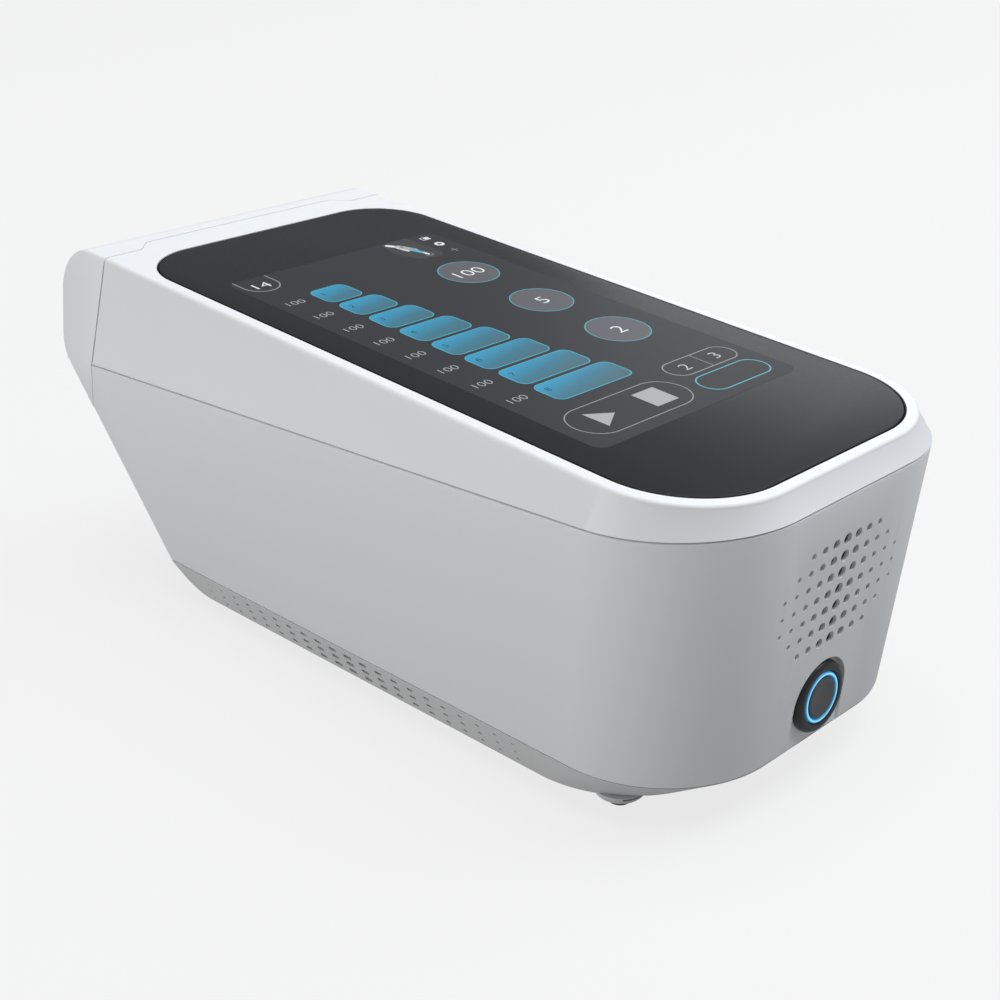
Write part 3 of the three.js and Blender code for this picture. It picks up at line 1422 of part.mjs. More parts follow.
const finishes = {
  shell: finish('white_shell', '#eef0f1', 0.32, 0),
  band: finish('grey_band', '#8d8f91', 0.55, 0),
  glass: finish('screen_glass', '#3c3e42', 0.08, 0),
  gasket: finish('black_foam', '#1c1d1f', 0.9, 0),
  display: finish('display_module', '#2a2c31', 0.4, 0.2),
  board: finish('board_laminate', '#1f5a35', 0.5, 0),
  battery: finish('battery_wrap', '#2f5fa8', 0.35, 0),
  strap: finish('strap_webbing', '#26282b', 0.85, 0),
  bezel: finish('bezel_black', '#2d2f31', 0.25, 0.4),
  light: finish('ring_light', '#2a8fe6', 0.3, 0),
  cap: finish('button_metal', '#4b4e51', 0.38, 0.7),
  switch: finish('switch_black', '#17181a', 0.6, 0),
  nut: finish('nut_brass', '#c9a45a', 0.35, 1),
  speaker: finish('speaker_steel', '#5a5d60', 0.5, 0.8),
  cone: finish('cone_paper', '#2b2b2c', 0.95, 0),
  frame: finish('pressed_steel', '#a9adb1', 0.45, 0.9),
  rubber: finish('soft_rubber', '#202123', 0.9, 0),
  core: finish('core_steel', '#7d8084', 0.5, 0.9),
  coil: finish('copper_winding', '#b0622e', 0.4, 0.8),
  armature: finish('armature_aluminium', '#c4c7ca', 0.35, 0.9),
  magnet: finish('nickel_magnet', '#d5d7da', 0.2, 1),
  head: finish('cast_aluminium', '#a3a6a8', 0.6, 0.8),
  hose: finish('clear_hose', '#c8d3d8', 0.3, 0),
  manifold: finish('manifold_nylon', '#dcd9cd', 0.55, 0),
  valve: finish('valve_resin', '#33507a', 0.5, 0),
  plunger: finish('plunger_steel', '#cfd1d4', 0.3, 1),
  socket: finish('socket_grey', '#5b5e61', 0.5, 0),
  inlet: finish('inlet_black', '#1b1c1d', 0.45, 0),
  fan: finish('fan_black', '#1e1f21', 0.55, 0),
  pad: finish('foot_rubber', '#232425', 0.9, 0),
};

function piece(name, solid, look, group) {
  const mesh = new THREE.Mesh(toGeometry(solid), finishes[look]);
  mesh.name = name;
  group.add(mesh);
  return mesh;
}

function subgroup(parent, matrix) {
  const group = new THREE.Group();
  matrix.decompose(group.position, group.quaternion, group.scale);
  parent.add(group);
  return group;
}

const shift = (x, y, z) => new THREE.Matrix4().makeTranslation(x, y, z);
const pump = new THREE.Group();

piece('upper_housing', upperHousing(), 'shell', pump);
piece('lower_housing', lowerHousing(), 'shell', pump);
piece('rear_cover', rearCover(), 'shell', pump);
piece('base_tray', baseTray(), 'band', pump);

const screenGroup = subgroup(pump, topFrame);
piece('touch_glass', touchGlass(), 'glass', screenGroup);
piece('glass_gasket', glassGasket(), 'gasket', screenGroup);
piece('display_panel', displayPanel(), 'display', screenGroup);
piece('main_board', mainBoard(), 'board', screenGroup);

piece('battery_pack', batteryPack(), 'battery', pump);
piece('battery_strap', batteryStrap(), 'strap', pump);

const buttonGroup = subgroup(pump, shift(0, recessFloorY - bezelStand, buttonHeight));
piece('button_bezel', buttonBezel(), 'bezel', buttonGroup);
piece('button_light_ring', lightRing(), 'light', buttonGroup);
piece('button_cap', buttonCap(), 'cap', buttonGroup);
piece('switch_body', switchBody(), 'switch', buttonGroup);
piece('button_nut', buttonNut(), 'nut', buttonGroup).position.y = bezelStand + buttonPadWall + seamGap;

const speakerGroup = subgroup(
  pump, wallFrame.clone().multiply(shift(0, wall + seamGap, -grilleDrop)));
piece('speaker_frame', speakerFrame(), 'speaker', speakerGroup);
piece('speaker_cone', speakerCone(), 'cone', speakerGroup);

const compressorGroup = subgroup(pump, shift(compressorX, compressorY, compressorBase));
piece('compressor_frame', compressorFrame(), 'frame', compressorGroup);
piece('magnet_core_left', magnetCore(-1), 'core', compressorGroup);
piece('magnet_core_right', magnetCore(1), 'core', compressorGroup);
piece('coil_left', coil(-1), 'coil', compressorGroup);
piece('coil_right', coil(1), 'coil', compressorGroup);
piece('armature', armature(), 'armature', compressorGroup);
piece('armature_magnet', armatureMagnet(), 'magnet', compressorGroup);
piece('diaphragm_front', diaphragm(-1), 'rubber', compressorGroup);
piece('diaphragm_rear', diaphragm(1), 'rubber', compressorGroup);
piece('pump_head_front', pumpHead(-1), 'head', compressorGroup);
piece('pump_head_rear', pumpHead(1), 'head', compressorGroup);
piece('compressor_mount_left', compressorMount(-1), 'rubber', pump);
piece('compressor_mount_right', compressorMount(1), 'rubber', pump);
piece('compressor_hose_front', pressureHose(-1, inletXs[1], frontRunShares, 16), 'hose', pump);
piece('compressor_hose_rear', pressureHose(1, inletXs[0], rearRunShares, 10), 'hose', pump);

piece('valve_manifold', valveManifold(), 'manifold', pump);
valveXs.forEach((x, i) => {
  const valveGroup = subgroup(pump, shift(x, manifoldY, manifoldHeight));
  piece(`valve_${i + 1}`, valveBody(), 'valve', valveGroup);
  piece(`valve_plunger_${i + 1}`, valvePlunger(), 'plunger', valveGroup);
});
piece('outlet_hoses_left', outletRibbon(-socketCentreX), 'hose', pump);
piece('outlet_hoses_right', outletRibbon(socketCentreX), 'hose', pump);

piece('hose_socket_left', hoseSocket(-socketCentreX), 'socket', pump);
piece('hose_socket_right', hoseSocket(socketCentreX), 'socket', pump);
piece('power_inlet', powerInlet(), 'inlet', pump);

const fanGroup = subgroup(
  pump,
  shift(fanX + fanDepth / 2, fanY, trayTop + seamGap + fanSize / 2)
    .multiply(new THREE.Matrix4().makeRotationY(-Math.PI / 2)));
piece('fan_frame', fanFrame(), 'fan', fanGroup);
piece('fan_rotor', fanRotor(), 'fan', fanGroup);

footPlaces.forEach(([x, y], i) => {
  piece(`foot_pad_${i + 1}`, footPad(), 'pad', pump).position.set(x, y, 0);
});

export default pump;
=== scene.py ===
import bmesh
import bpy
from math import acos, atan2, copysign, cos, pi, radians, sin, sqrt, tan
from mathutils import Matrix, Vector


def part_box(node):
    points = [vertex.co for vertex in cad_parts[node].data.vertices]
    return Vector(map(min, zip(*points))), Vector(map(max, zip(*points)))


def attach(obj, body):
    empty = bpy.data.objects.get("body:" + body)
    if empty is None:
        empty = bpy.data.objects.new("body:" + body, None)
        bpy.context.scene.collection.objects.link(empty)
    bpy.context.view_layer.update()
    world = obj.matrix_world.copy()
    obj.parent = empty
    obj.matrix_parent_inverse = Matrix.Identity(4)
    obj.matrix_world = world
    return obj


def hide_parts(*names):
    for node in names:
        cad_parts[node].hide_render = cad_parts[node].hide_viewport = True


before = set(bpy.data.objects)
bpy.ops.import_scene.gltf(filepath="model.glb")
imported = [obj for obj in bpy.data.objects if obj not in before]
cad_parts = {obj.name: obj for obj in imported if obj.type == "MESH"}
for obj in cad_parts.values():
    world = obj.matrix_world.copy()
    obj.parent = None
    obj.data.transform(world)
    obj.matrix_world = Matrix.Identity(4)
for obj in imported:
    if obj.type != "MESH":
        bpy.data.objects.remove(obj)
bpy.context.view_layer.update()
mm = 0.001

# Camera and light
# A short telephoto view from the pump's front left, a little above the screen, in a plain
# pale studio with a broad even light overhead and softer ones at the left, right rear and front.
camera_place = Vector((-341.7, -343.6, 263.3)) * mm
view_direction = Vector((0.6511, 0.6391, -0.4095))
camera_roll = radians(-0.1)
camera_lens = 60.63
camera_sensor = 36.0
pump_middle = Vector((0, 0, 60 * mm))
ceiling_direction = (0.02, 0.06, -1.0)
floor_reach = 6.0


def add_object(name, data):
    made = bpy.data.objects.new(name, data)
    bpy.context.collection.objects.link(made)
    return made


def facing(direction):
    """The turn that points a camera or a lamp along a direction."""
    return Vector(direction).to_track_quat("-Z", "Y")


def add_softbox(name, place, width, height, watts, colour):
    """A rectangular lamp, aimed at the middle of the pump."""
    data = bpy.data.lights.new(name, "AREA")
    data.shape = "RECTANGLE"
    data.size = width
    data.size_y = height
    data.energy = watts
    data.color = colour
    lamp = add_object(name, data)
    lamp.location = place
    lamp.rotation_euler = facing(pump_middle - Vector(place)).to_euler()


def set_values(node, values):
    for socket, value in values.items():
        node.inputs[socket].default_value = value


def add_node(tree, kind, values=(), **settings):
    """A shader node with its settings and the fixed values of its sockets."""
    node = tree.nodes.new("ShaderNode" + kind)
    for setting, value in settings.items():
        setattr(node, setting, value)
    set_values(node, dict(values))
    return node


def wire(tree, *links):
    """Links, each given as a node, its output, the next node and its input."""
    for source, output, target, socket in links:
        tree.links.new(source.outputs[output], target.inputs[socket])


def new_material(name, values):
    """A material, its node tree and its shader with the given fixed values."""
    material = bpy.data.materials.new(name)
    material.use_nodes = True
    shader = material.node_tree.nodes["Principled BSDF"]
    set_values(shader, values)
    return material, material.node_tree, shader


camera_data = bpy.data.cameras.new("studio_camera")
camera_data.lens = camera_lens
camera_data.sensor_width = camera_sensor
camera_data.clip_start = 10 * mm
camera = add_object("studio_camera", camera_data)
camera.location = camera_place
camera.rotation_mode = "QUATERNION"
camera.rotation_quaternion = facing(view_direction) @ Matrix.Rotation(camera_roll, 3, "Z").to_quaternion()
bpy.context.scene.camera = camera
bpy.context.scene.view_settings.view_transform = "Standard"

add_softbox("left_softbox", (-1.4, 0.7, 0.17), 1.0, 0.5, 8.4, (1.0, 1.0, 1.0))
add_softbox("rear_softbox", (1.88, 0.68, 0.57), 1.33, 0.98, 3.1, (0.96, 0.98, 1.0))
add_softbox("front_softbox", (0.8, -0.5, 1.2), 0.9, 0.9, 11.3, (0.87, 0.94, 1.0))
ceiling_data = bpy.data.lights.new("studio_ceiling", "SUN")
ceiling_data.energy = 1.85
ceiling_data.angle = radians(44)
add_object("studio_ceiling", ceiling_data).rotation_euler = facing(ceiling_direction).to_euler()
world = bpy.data.worlds.new("studio_air")
world.use_nodes = True
set_values(world.node_tree.nodes["Background"], {"Color": (0.93, 0.94, 0.95, 1.0), "Strength": 0.21})
bpy.context.scene.world = world

floor_corners = [(x * floor_reach, y * floor_reach, 0) for x, y in ((-1, -1), (1, -1), (1, 1), (-1, 1))]
floor_mesh = bpy.data.meshes.new("studio_floor")
floor_mesh.from_pydata(floor_corners, [], [(0, 1, 2, 3)])
floor = add_object("studio_floor", floor_mesh)
floor_material, floor_tree, floor_shader = new_material("studio_floor", {
    "Base Color": (0.12, 0.12, 0.121, 1.0), "Roughness": 0.8, "Specular IOR Level": 0.0,
    "Emission Color": (1.0, 1.0, 1.0, 1.0)})
# The floor is a light table: its own light shows to the lens, and doesn't wash out the pump
floor_path = add_node(floor_tree, "LightPath")
floor_glow = add_node(floor_tree, "Math", {1: 0.495, 2: 0.28}, operation="MULTIPLY_ADD")
wire(
    floor_tree, (floor_path, "Is Camera Ray", floor_glow, 0),
    (floor_glow, "Value", floor_shader, "Emission Strength"))
floor_mesh.materials.append(floor_material)

# Upper housing
# The white moulded frame round the screen: an injection-moulded shell, open below, whose top
# plane climbs 4 degrees to the rear. It drops onto the lower housing along a thin groove.
lower_low, lower_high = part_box("lower_housing")
half_width = lower_high.x
front_y = lower_low.y
rear_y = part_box("rear_cover")[1].y
tray_low = 4.3 * mm
skirt_height = 15.3 * mm
skirt_setback = 7.05 * mm
skirt_inset = 4.1 * mm
skirt_radius = 37.1 * mm
parting_front_height = 90.7 * mm
rim_front_height = 97.45 * mm
top_angle = radians(4)
top_slope = tan(top_angle)
parting_slope = tan(radians(2.9))
rim_setback = 4.1 * mm
rim_inset = 4.3 * mm
rim_radius = 32.6 * mm
rim_fillet = 1.4 * mm
parting_radius = 37.2 * mm
parting_gap = 0.4 * mm
wall = 2.5 * mm
seam_gap = 0.3 * mm
edge_radius = 0.45 * mm
overrun = 1 * mm
corner_steps = 40
glass_half = 54.3 * mm
glass_length = 230.2 * mm
glass_front_radius = 28.8 * mm
glass_rear_radius = 21.5 * mm
glass_thickness = 2 * mm
glass_front_y = front_y + rim_setback + 3.6 * mm
pocket_depth = 3.4 * mm
deck_depth = pocket_depth + 2 * mm
seam_top_y = rear_y - 24.4 * mm
seam_lean = tan(radians(11.6))
seam_tongue_half = 38.9 * mm
seam_tongue_shoulder = 5.4 * mm
seam_tongue_depth = 5.2 * mm
rear_top_radius = 15.2 * mm
rear_knee_height = 80.8 * mm
rear_knee_radius = 13.5 * mm
rear_slant = tan(radians(35.6))
rear_foot_radius = 16 * mm
shell_white = (0.85, 0.86, 0.875)
tiny_length = 0.0005 * mm


def top_plane(y):
    return rim_front_height + top_slope * (y - front_y - rim_setback)


def parting_plane(y):
    return parting_front_height - parting_slope * (y - front_y)


def arc_points(cx, cy, radius, start, end, steps):
    angles = [start + (end - start) * i / steps for i in range(steps + 1)]
    return [(cx + radius * cos(a), cy + radius * sin(a)) for a in angles]


def quarter_turn(steps, first=0):
    """Sines of a quarter turn, each with how far its cosine falls below one."""
    angles = [pi / 2 * i / steps for i in range(first, steps + 1)]
    return [(sin(a), 1 - cos(a)) for a in angles]


def corner_arcs(*arcs):
    """A closed outline of four corner arcs (a, b, radius, steps), from the lower right one upwards."""
    outline = []
    for i, (a, b, radius, steps) in enumerate(arcs):
        outline += arc_points(a, b, radius, (i - 1) * pi / 2, i * pi / 2, steps)
    return outline


def plan_outline(half, front, radius, height):
    """A U-shaped plan, round at the front and square at the rear, lifted to height(y)."""
    far = rear_y + wall
    quarter = pi / 2
    plan = arc_points(half - radius, front + radius, radius, -quarter, 0, corner_steps)
    plan += [(half, far), (-half, far)]
    plan += arc_points(radius - half, front + radius, radius, pi, pi + quarter, corner_steps)
    return [Vector((x, y, height(y))) for x, y in plan]


def loft_solid(rings):
    """Rings of equal count joined by quads and closed by one face at each end."""
    work = bmesh.new()
    rows = [[work.verts.new(p) for p in ring] for ring in rings]
    count = len(rings[0])
    for low, high in zip(rows, rows[1:]):
        for i in range(count):
            j = (i + 1) % count
            work.faces.new((low[i], low[j], high[j], high[i]))
    work.faces.new(rows[0][::-1])
    work.faces.new(rows[-1])
    bmesh.ops.recalc_face_normals(work, faces=work.faces)
    return solid_from(work)


def solid_from(work):
    mesh = bpy.data.meshes.new("solid")
    work.to_mesh(mesh)
    work.free()
    return add_object("solid", mesh)


def prism(outline, axis, start, end):
    """A closed outline of (a, b) pairs swept along x, y or z."""
    at = "xyz".index(axis)
    return loft_solid([[Vector((*point[:at], c, *point[at:])) for point in outline] for c in (start, end)])


def apply_modifiers(solid):
    graph = bpy.context.evaluated_depsgraph_get()
    made = bpy.data.meshes.new_from_object(solid.evaluated_get(graph))
    solid.modifiers.clear()
    solid.data = made
    return solid


def combine(solid, tool, operation):
    """Cuts, joins or intersects a solid with a tool, which is used up."""
    step = solid.modifiers.new("combine", "BOOLEAN")
    step.operation = operation
    step.object = tool
    step.solver = "EXACT"
    apply_modifiers(solid)
    bpy.data.objects.remove(tool)
    return solid


def cut(solid, *tools):
    for tool in tools:
        combine(solid, tool, "DIFFERENCE")


def placed(solid, matrix):
    """Carries a solid that was made in its own frame to its place."""
    solid.data.transform(matrix)
    return solid


def round_edges(solid, radius, segments=3, angle=40):
    step = solid.modifiers.new("round_edges", "BEVEL")
    step.width = radius
    step.segments = segments
    step.limit_method = "ANGLE"
    step.angle_limit = radians(angle)
    step.use_clamp_overlap = True
    return apply_modifiers(solid)


def rounded_corner(before, here, after, radius, steps):
    """Points of an arc tangent to both edges of a corner."""
    here = Vector(here)
    back = (Vector(before) - here).normalized()
    ahead = (Vector(after) - here).normalized()
    half = acos(back.dot(ahead)) / 2
    centre = here + (back + ahead).normalized() * (radius / sin(half))
    start = here + back * (radius / tan(half)) - centre
    end = here + ahead * (radius / tan(half)) - centre
    first = atan2(start.y, start.x)
    turn = (atan2(end.y, end.x) - first + pi) % (2 * pi) - pi
    return arc_points(centre.x, centre.y, radius, first, first + turn, steps)


def side_outline(inset, top_inset, foot_inset):
    """The pump's rear seen from the side, every face moved in by its inset."""
    slant_shift = inset * sqrt(1 + rear_slant ** 2)
    foot = tray_low + foot_inset
    top = lambda y: top_plane(y) - top_inset
    back = rear_y - inset
    knee = rear_knee_height + (slant_shift - inset) / rear_slant
    far_front = front_y - wall
    corners = [
        ((far_front, foot), 0),
        ((back - (knee - foot) * rear_slant, foot), max(rear_foot_radius - foot_inset, 0)),
        ((back, knee), rear_knee_radius - inset),
        ((back, top(back)), rear_top_radius - inset),
        ((far_front, top(far_front)), 0),
    ]
    points = []
    for i, (place, radius) in enumerate(corners):
        before = corners[i - 1][0]
        after = corners[(i + 1) % len(corners)][0]
        points += rounded_corner(before, place, after, radius, 20) if radius > 0 else [place]
    return points


def side_solid(inset, top_inset, foot_inset):
    return prism(side_outline(inset, top_inset, foot_inset), "x", -2 * half_width, 2 * half_width)


def parting_ring(inset, drop):
    return plan_outline(
        half_width - inset, front_y + inset, parting_radius - inset, lambda y: parting_plane(y) - drop)


def rim_rings(inset, top_inset):
    """The rim's outline on the top plane, with its rounded edge where the walls aren't moved in."""
    rounding = [(0.0, 0.0)] if inset else [
        (rim_fillet * fall, rim_fillet * (1 - rise)) for rise, fall in quarter_turn(6)]
    return [
        plan_outline(
            half_width - rim_inset - inset - step_in, front_y + rim_setback + inset + step_in,
            rim_radius - inset - step_in, lambda y, lower=step_down: top_plane(y) - top_inset - lower)
        for step_in, step_down in rounding]


def skirt_rings(inset, reach=0.0):
    """The body's bottom outline, and the same outline reach below it."""
    heights = [skirt_height - reach, skirt_height] if reach else [skirt_height]
    return [
        plan_outline(
            half_width - skirt_inset - inset, front_y + skirt_setback + inset, skirt_radius - inset,
            lambda y, z=z: z)
        for z in heights]


def upper_form(inset, top_inset, drop=0.0):
    """The body above the parting plane as a solid, its walls moved in by inset."""
    return loft_solid([parting_ring(inset, drop), *rim_rings(inset, top_inset)])


def lower_form(inset, drop, reach=0.0):
    """The body from the parting plane down to its bottom edge as a solid."""
    return loft_solid([*skirt_rings(inset, reach), parting_ring(inset, drop)])


def behind_seam(shift):
    """Everything behind the rear cover's seam, which leans back and has a tongue in its middle."""
    top_y = seam_top_y + shift
    outer = seam_tongue_half + seam_tongue_shoulder
    tongue_y = top_y + seam_tongue_depth
    far = rear_y + half_width
    plan = [
        (-2 * half_width, top_y), (-outer, top_y), (-seam_tongue_half, tongue_y), (seam_tongue_half, tongue_y),
        (outer, top_y), (2 * half_width, top_y), (2 * half_width, far), (-2 * half_width, far)]
    datum = top_plane(seam_top_y)
    return loft_solid([
        [Vector((x, y + seam_lean * (datum - z), z)) for x, y in plan] for z in (0.0, 2 * half_width)])


top_frame = Matrix.Translation((0, glass_front_y, top_plane(glass_front_y))) @ Matrix.Rotation(top_angle, 4, "X")


def glass_outline(grow):
    half = glass_half + grow
    front = glass_front_radius + grow
    rear = glass_rear_radius + grow
    far = glass_length + grow
    return corner_arcs(
        (half - front, front - grow, front, 24), (half - rear, far - rear, rear, 20),
        (rear - half, far - rear, rear, 20), (front - half, front - grow, front, 24))


upper_shell = round_edges(upper_form(0, 0), edge_radius)
pocket = placed(prism(glass_outline(seam_gap), "z", -pocket_depth, overrun), top_frame)
cut(upper_shell, upper_form(wall, deck_depth, overrun), pocket, behind_seam(-seam_gap / 2))


def node_group(name, inputs, outputs):
    """A shader node group with its named sockets; returns the group and its two end nodes."""
    group = bpy.data.node_groups.new(name, "ShaderNodeTree")
    for socket, kind, default in inputs:
        made = group.interface.new_socket(socket, in_out="INPUT", socket_type="NodeSocket" + kind)
        made.default_value = default
    for socket, kind in outputs:
        group.interface.new_socket(socket, in_out="OUTPUT", socket_type="NodeSocket" + kind)
    return group, group.nodes.new("NodeGroupInput"), group.nodes.new("NodeGroupOutput")


# Moulded surfaces: a slow drift of shade from the melt's flow and a fine spark-eroded grain
moulded_group, moulded_in, moulded_out = node_group(
    "moulded_surface",
    [("Colour", "Color", (0.8, 0.8, 0.8, 1.0)), ("Drift", "Float", 0.03),
     ("Grain Scale", "Float", 4000.0), ("Gloss", "Float", 0.35)],
    [("Colour", "Color"), ("Roughness", "Float"), ("Height", "Float")])
place = add_node(moulded_group, "TexCoord")
flow = add_node(moulded_group, "TexNoise", {"Scale": 22.0, "Detail": 3.0})
grain = add_node(moulded_group, "TexNoise", {"Detail": 2.0})
shade = add_node(moulded_group, "MapRange", {"From Min": 0.3, "From Max": 0.7})
tint = add_node(moulded_group, "Mix", data_type="RGBA", blend_type="MULTIPLY")
tint.inputs["B"].default_value = (0.8, 0.8, 0.8, 1.0)
amount = add_node(moulded_group, "Math", operation="MULTIPLY")
rough = add_node(moulded_group, "Math", {1: 0.08}, operation="MULTIPLY_ADD")
wire(
    moulded_group,
    (place, "Object", flow, "Vector"), (place, "Object", grain, "Vector"),
    (moulded_in, "Grain Scale", grain, "Scale"), (flow, "Fac", shade, "Value"),
    (shade, "Result", amount, 0), (moulded_in, "Drift", amount, 1),
    (amount, "Value", tint, "Factor"), (moulded_in, "Colour", tint, "A"),
    (tint, "Result", moulded_out, "Colour"), (grain, "Fac", rough, 0), (moulded_in, "Gloss", rough, 2),
    (rough, "Value", moulded_out, "Roughness"), (grain, "Fac", moulded_out, "Height"))


def moulded(name, colour, gloss, grain_scale, grain_depth, coat=0.0, drift=0.03, metal=0.0, specular=0.5):
    """A moulded, cast or painted finish: its group drives colour, roughness and a fine bump."""
    material, tree, shader = new_material(name, {
        "Coat Weight": coat, "Coat Roughness": 0.12, "Metallic": metal, "Specular IOR Level": specular})
    surface = add_node(tree, "Group", node_tree=moulded_group)
    set_values(surface, {"Colour": (*colour, 1.0), "Drift": drift, "Grain Scale": grain_scale, "Gloss": gloss})
    bump = add_node(tree, "Bump", {"Distance": grain_depth, "Strength": 0.35})
    wire(
        tree, (surface, "Colour", shader, "Base Color"), (surface, "Roughness", shader, "Roughness"),
        (surface, "Height", bump, "Height"), (bump, "Normal", shader, "Normal"))
    return material


def settle(piece, name, material, stands_for=None, body="pump_body", sharp=32, split=False):
    """Names and dresses a finished piece, smooths it between its sharp edges and fixes it to its body."""
    work = bmesh.new()
    work.from_mesh(piece.data)
    bmesh.ops.remove_doubles(work, verts=work.verts, dist=tiny_length)
    bmesh.ops.dissolve_degenerate(work, edges=work.edges, dist=tiny_length)
    if split:
        bmesh.ops.triangulate(work, faces=[face for face in work.faces if len(face.verts) > 4])
    work.to_mesh(piece.data)
    work.free()
    piece.name = name
    piece.data.name = name
    piece.data.materials.clear()
    piece.data.materials.append(material)
    piece.data.shade_smooth()
    piece.data.set_sharp_from_angle(angle=radians(sharp))
    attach(piece, body)
    if stands_for:
        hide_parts(stands_for)


shell_finish = moulded("shell_white", shell_white, 0.42, 5200.0, 0.00002)
settle(upper_shell, "upper_shell", shell_finish, "upper_housing")

# Lower housing
# The deep white tub that tapers down to the tray. Its front wall leans back 5 degrees and carries
# the graded grid of speaker holes and the arch-shaped recess of the power button.
grille_pitch = 5 * mm
grille_drop = 29 * mm
grille_rows = (7, 9, 11, 11, 11, 9, 7)
grille_diameters = tuple(d * mm for d in (3.5, 2.95, 2.45, 1.95, 1.5, 1.3))
front_lean = atan2(skirt_setback, parting_front_height - skirt_height)
recess_radius = 11.8 * mm
recess_floor_y = front_y + 7.35 * mm
button_height = 28 * mm
barrel_hole_radius = 9.7 * mm
cloth_depth = 1.1 * mm
shell_edge_radius = 0.6 * mm
wall_frame = Matrix.Translation((0, front_y, parting_front_height)) @ Matrix.Rotation(front_lean, 4, "X")


def circle_points(a, b, radius, sides):
    return arc_points(a, b, radius, 0, 2 * pi, sides)[:-1]


def rod(x, z, start, end, radius, sides):
    """A round bar along y."""
    return prism(circle_points(x, z, radius, sides), "y", start, end)


def joined(solids):
    """Several separate solids as one object."""
    work = bmesh.new()
    for solid in solids:
        work.from_mesh(solid.data)
        bpy.data.objects.remove(solid)
    return solid_from(work)


def grille_drill():
    holes = []
    for row, count in enumerate(grille_rows):
        z = -grille_drop - (row - (len(grille_rows) - 1) / 2) * grille_pitch
        for i in range(count):
            column = i - (count - 1) // 2
            radius = grille_diameters[abs(column)] / 2
            holes.append(rod(column * grille_pitch, z, -2 * wall, 2 * wall, radius, 20))
    return placed(joined(holes), wall_frame)


def cloth_form(near, far, inset):
    """The oblong recess behind the grille, or the cloth in it, between two depths of the wall."""
    reach_x = max(grille_rows) / 2 * grille_pitch - inset
    reach_z = len(grille_rows) / 2 * grille_pitch - inset
    outline = [(reach_x, -grille_drop - reach_z), (reach_x, -grille_drop + reach_z),
               (-reach_x, -grille_drop + reach_z), (-reach_x, -grille_drop - reach_z)]
    return placed(prism(outline, "y", near, far), wall_frame)


def arch(radius, foot, steps):
    """The arch round the power button, down to the height of its feet."""
    return [(radius, foot), *arc_points(0, button_height, radius, 0, pi, steps), (-radius, foot)]


lower_shell = lower_form(0, parting_gap)
combine(lower_shell, side_solid(0, 0, 0), "INTERSECT")
round_edges(lower_shell, shell_edge_radius)
lower_hollow = lower_form(wall, -overrun, overrun)
combine(lower_hollow, side_solid(wall, 0, 0), "INTERSECT")
cut(lower_shell, lower_hollow)
pad_arch = arch(recess_radius + wall, skirt_height + edge_radius, 40)
button_pad = prism(pad_arch, "y", recess_floor_y - wall, recess_floor_y + wall)
combine(button_pad, lower_form(wall / 2, 0), "INTERSECT")
combine(lower_shell, button_pad, "UNION")
recess = prism(arch(recess_radius, 0.0, 48), "y", front_y - wall, recess_floor_y)
barrel_hole = rod(0, button_height, front_y, recess_floor_y + 2 * wall, barrel_hole_radius, 48)
cloth_recess = cloth_form(cloth_depth, 2 * wall, 0)
cut(lower_shell, recess, barrel_hole, cloth_recess, grille_drill(), behind_seam(-seam_gap / 2))
settle(lower_shell, "lower_shell", shell_finish, "lower_housing")

# Rear cover
# One white moulding that closes the back: an upright face with round top and knee edges, which
# then slants under the body. It holds the two hose sockets and the charging inlet.
socket_half_width = 18.5 * mm
socket_half_height = 7.5 * mm
socket_radius = 2.5 * mm
socket_x = 31 * mm
socket_height = 90 * mm
inlet_radius = 5.4 * mm
side_edge_radius = 1.3 * mm


def body_solid(inset, top_inset):
    """Both halves of the body as one solid, with no gap at the parting plane."""
    solid = loft_solid([*skirt_rings(inset), parting_ring(inset, 0), *rim_rings(inset, top_inset)])
    return combine(solid, side_solid(inset, top_inset, 0), "INTERSECT")


def rounded_box(a_low, b_low, a_high, b_high, radius, grow=0.0, steps=12):
    """A rectangle with round corners, grown by grow on every side."""
    radius = radius + grow
    left, low = a_low - grow + radius, b_low - grow + radius
    right, high = a_high + grow - radius, b_high + grow - radius
    return corner_arcs(*((a, b, radius, steps) for a, b in ((right, low), (right, high), (left, high), (left, low))))


def socket_outline(x, grow):
    return rounded_box(
        x - socket_half_width, socket_height - socket_half_height,
        x + socket_half_width, socket_height + socket_half_height, socket_radius, grow, 10)


rear_shell = round_edges(body_solid(0, 0), side_edge_radius, 4, 50)
cut(rear_shell, body_solid(wall, wall))
combine(rear_shell, behind_seam(seam_gap / 2), "INTERSECT")
window_start, window_end = rear_y - 2 * wall, rear_y + wall
for side in (-1, 1):
    cut(rear_shell, prism(socket_outline(side * socket_x, seam_gap), "y", window_start, window_end))
cut(rear_shell, rod(0, socket_height, window_start, window_end, inlet_radius + seam_gap, 48))
settle(rear_shell, "rear_shell", shell_finish, "rear_cover", split=True)

# Base tray
# The grey tray that closes the underside: a sloping band with three rows of vents on each side,
# which shrink towards both ends, and four short domed legs for the rubber pads.
band_grey = (0.65, 0.655, 0.66)
band_inset = 8.4 * mm
band_setback = 22.1 * mm
band_radius = 36.2 * mm
band_edge_radius = 0.25 * mm
band_top = skirt_height - 0.05 * mm
band_lean = atan2(band_inset - skirt_inset, skirt_height - tray_low)
tray_floor = 1.6 * mm
leg_radius = 7.6 * mm
leg_tip_radius = 3.9 * mm
leg_tip_edge = 0.5 * mm
leg_tip_rise = 0.3 * mm
pad_height = 1.3 * mm
vent_pitch = 6.93 * mm
vent_row_pitch = 3.12 * mm
vent_columns = 10
vent_rows = 3
vent_length = 3.6 * mm
vent_height = 1.5 * mm
vent_rounding = 0.42
vent_end_share = 0.28
vent_depth = 1.4 * wall
slit_turn = 0.5
slit_half_turn = 0.46
slit_inner = 5.8 * mm
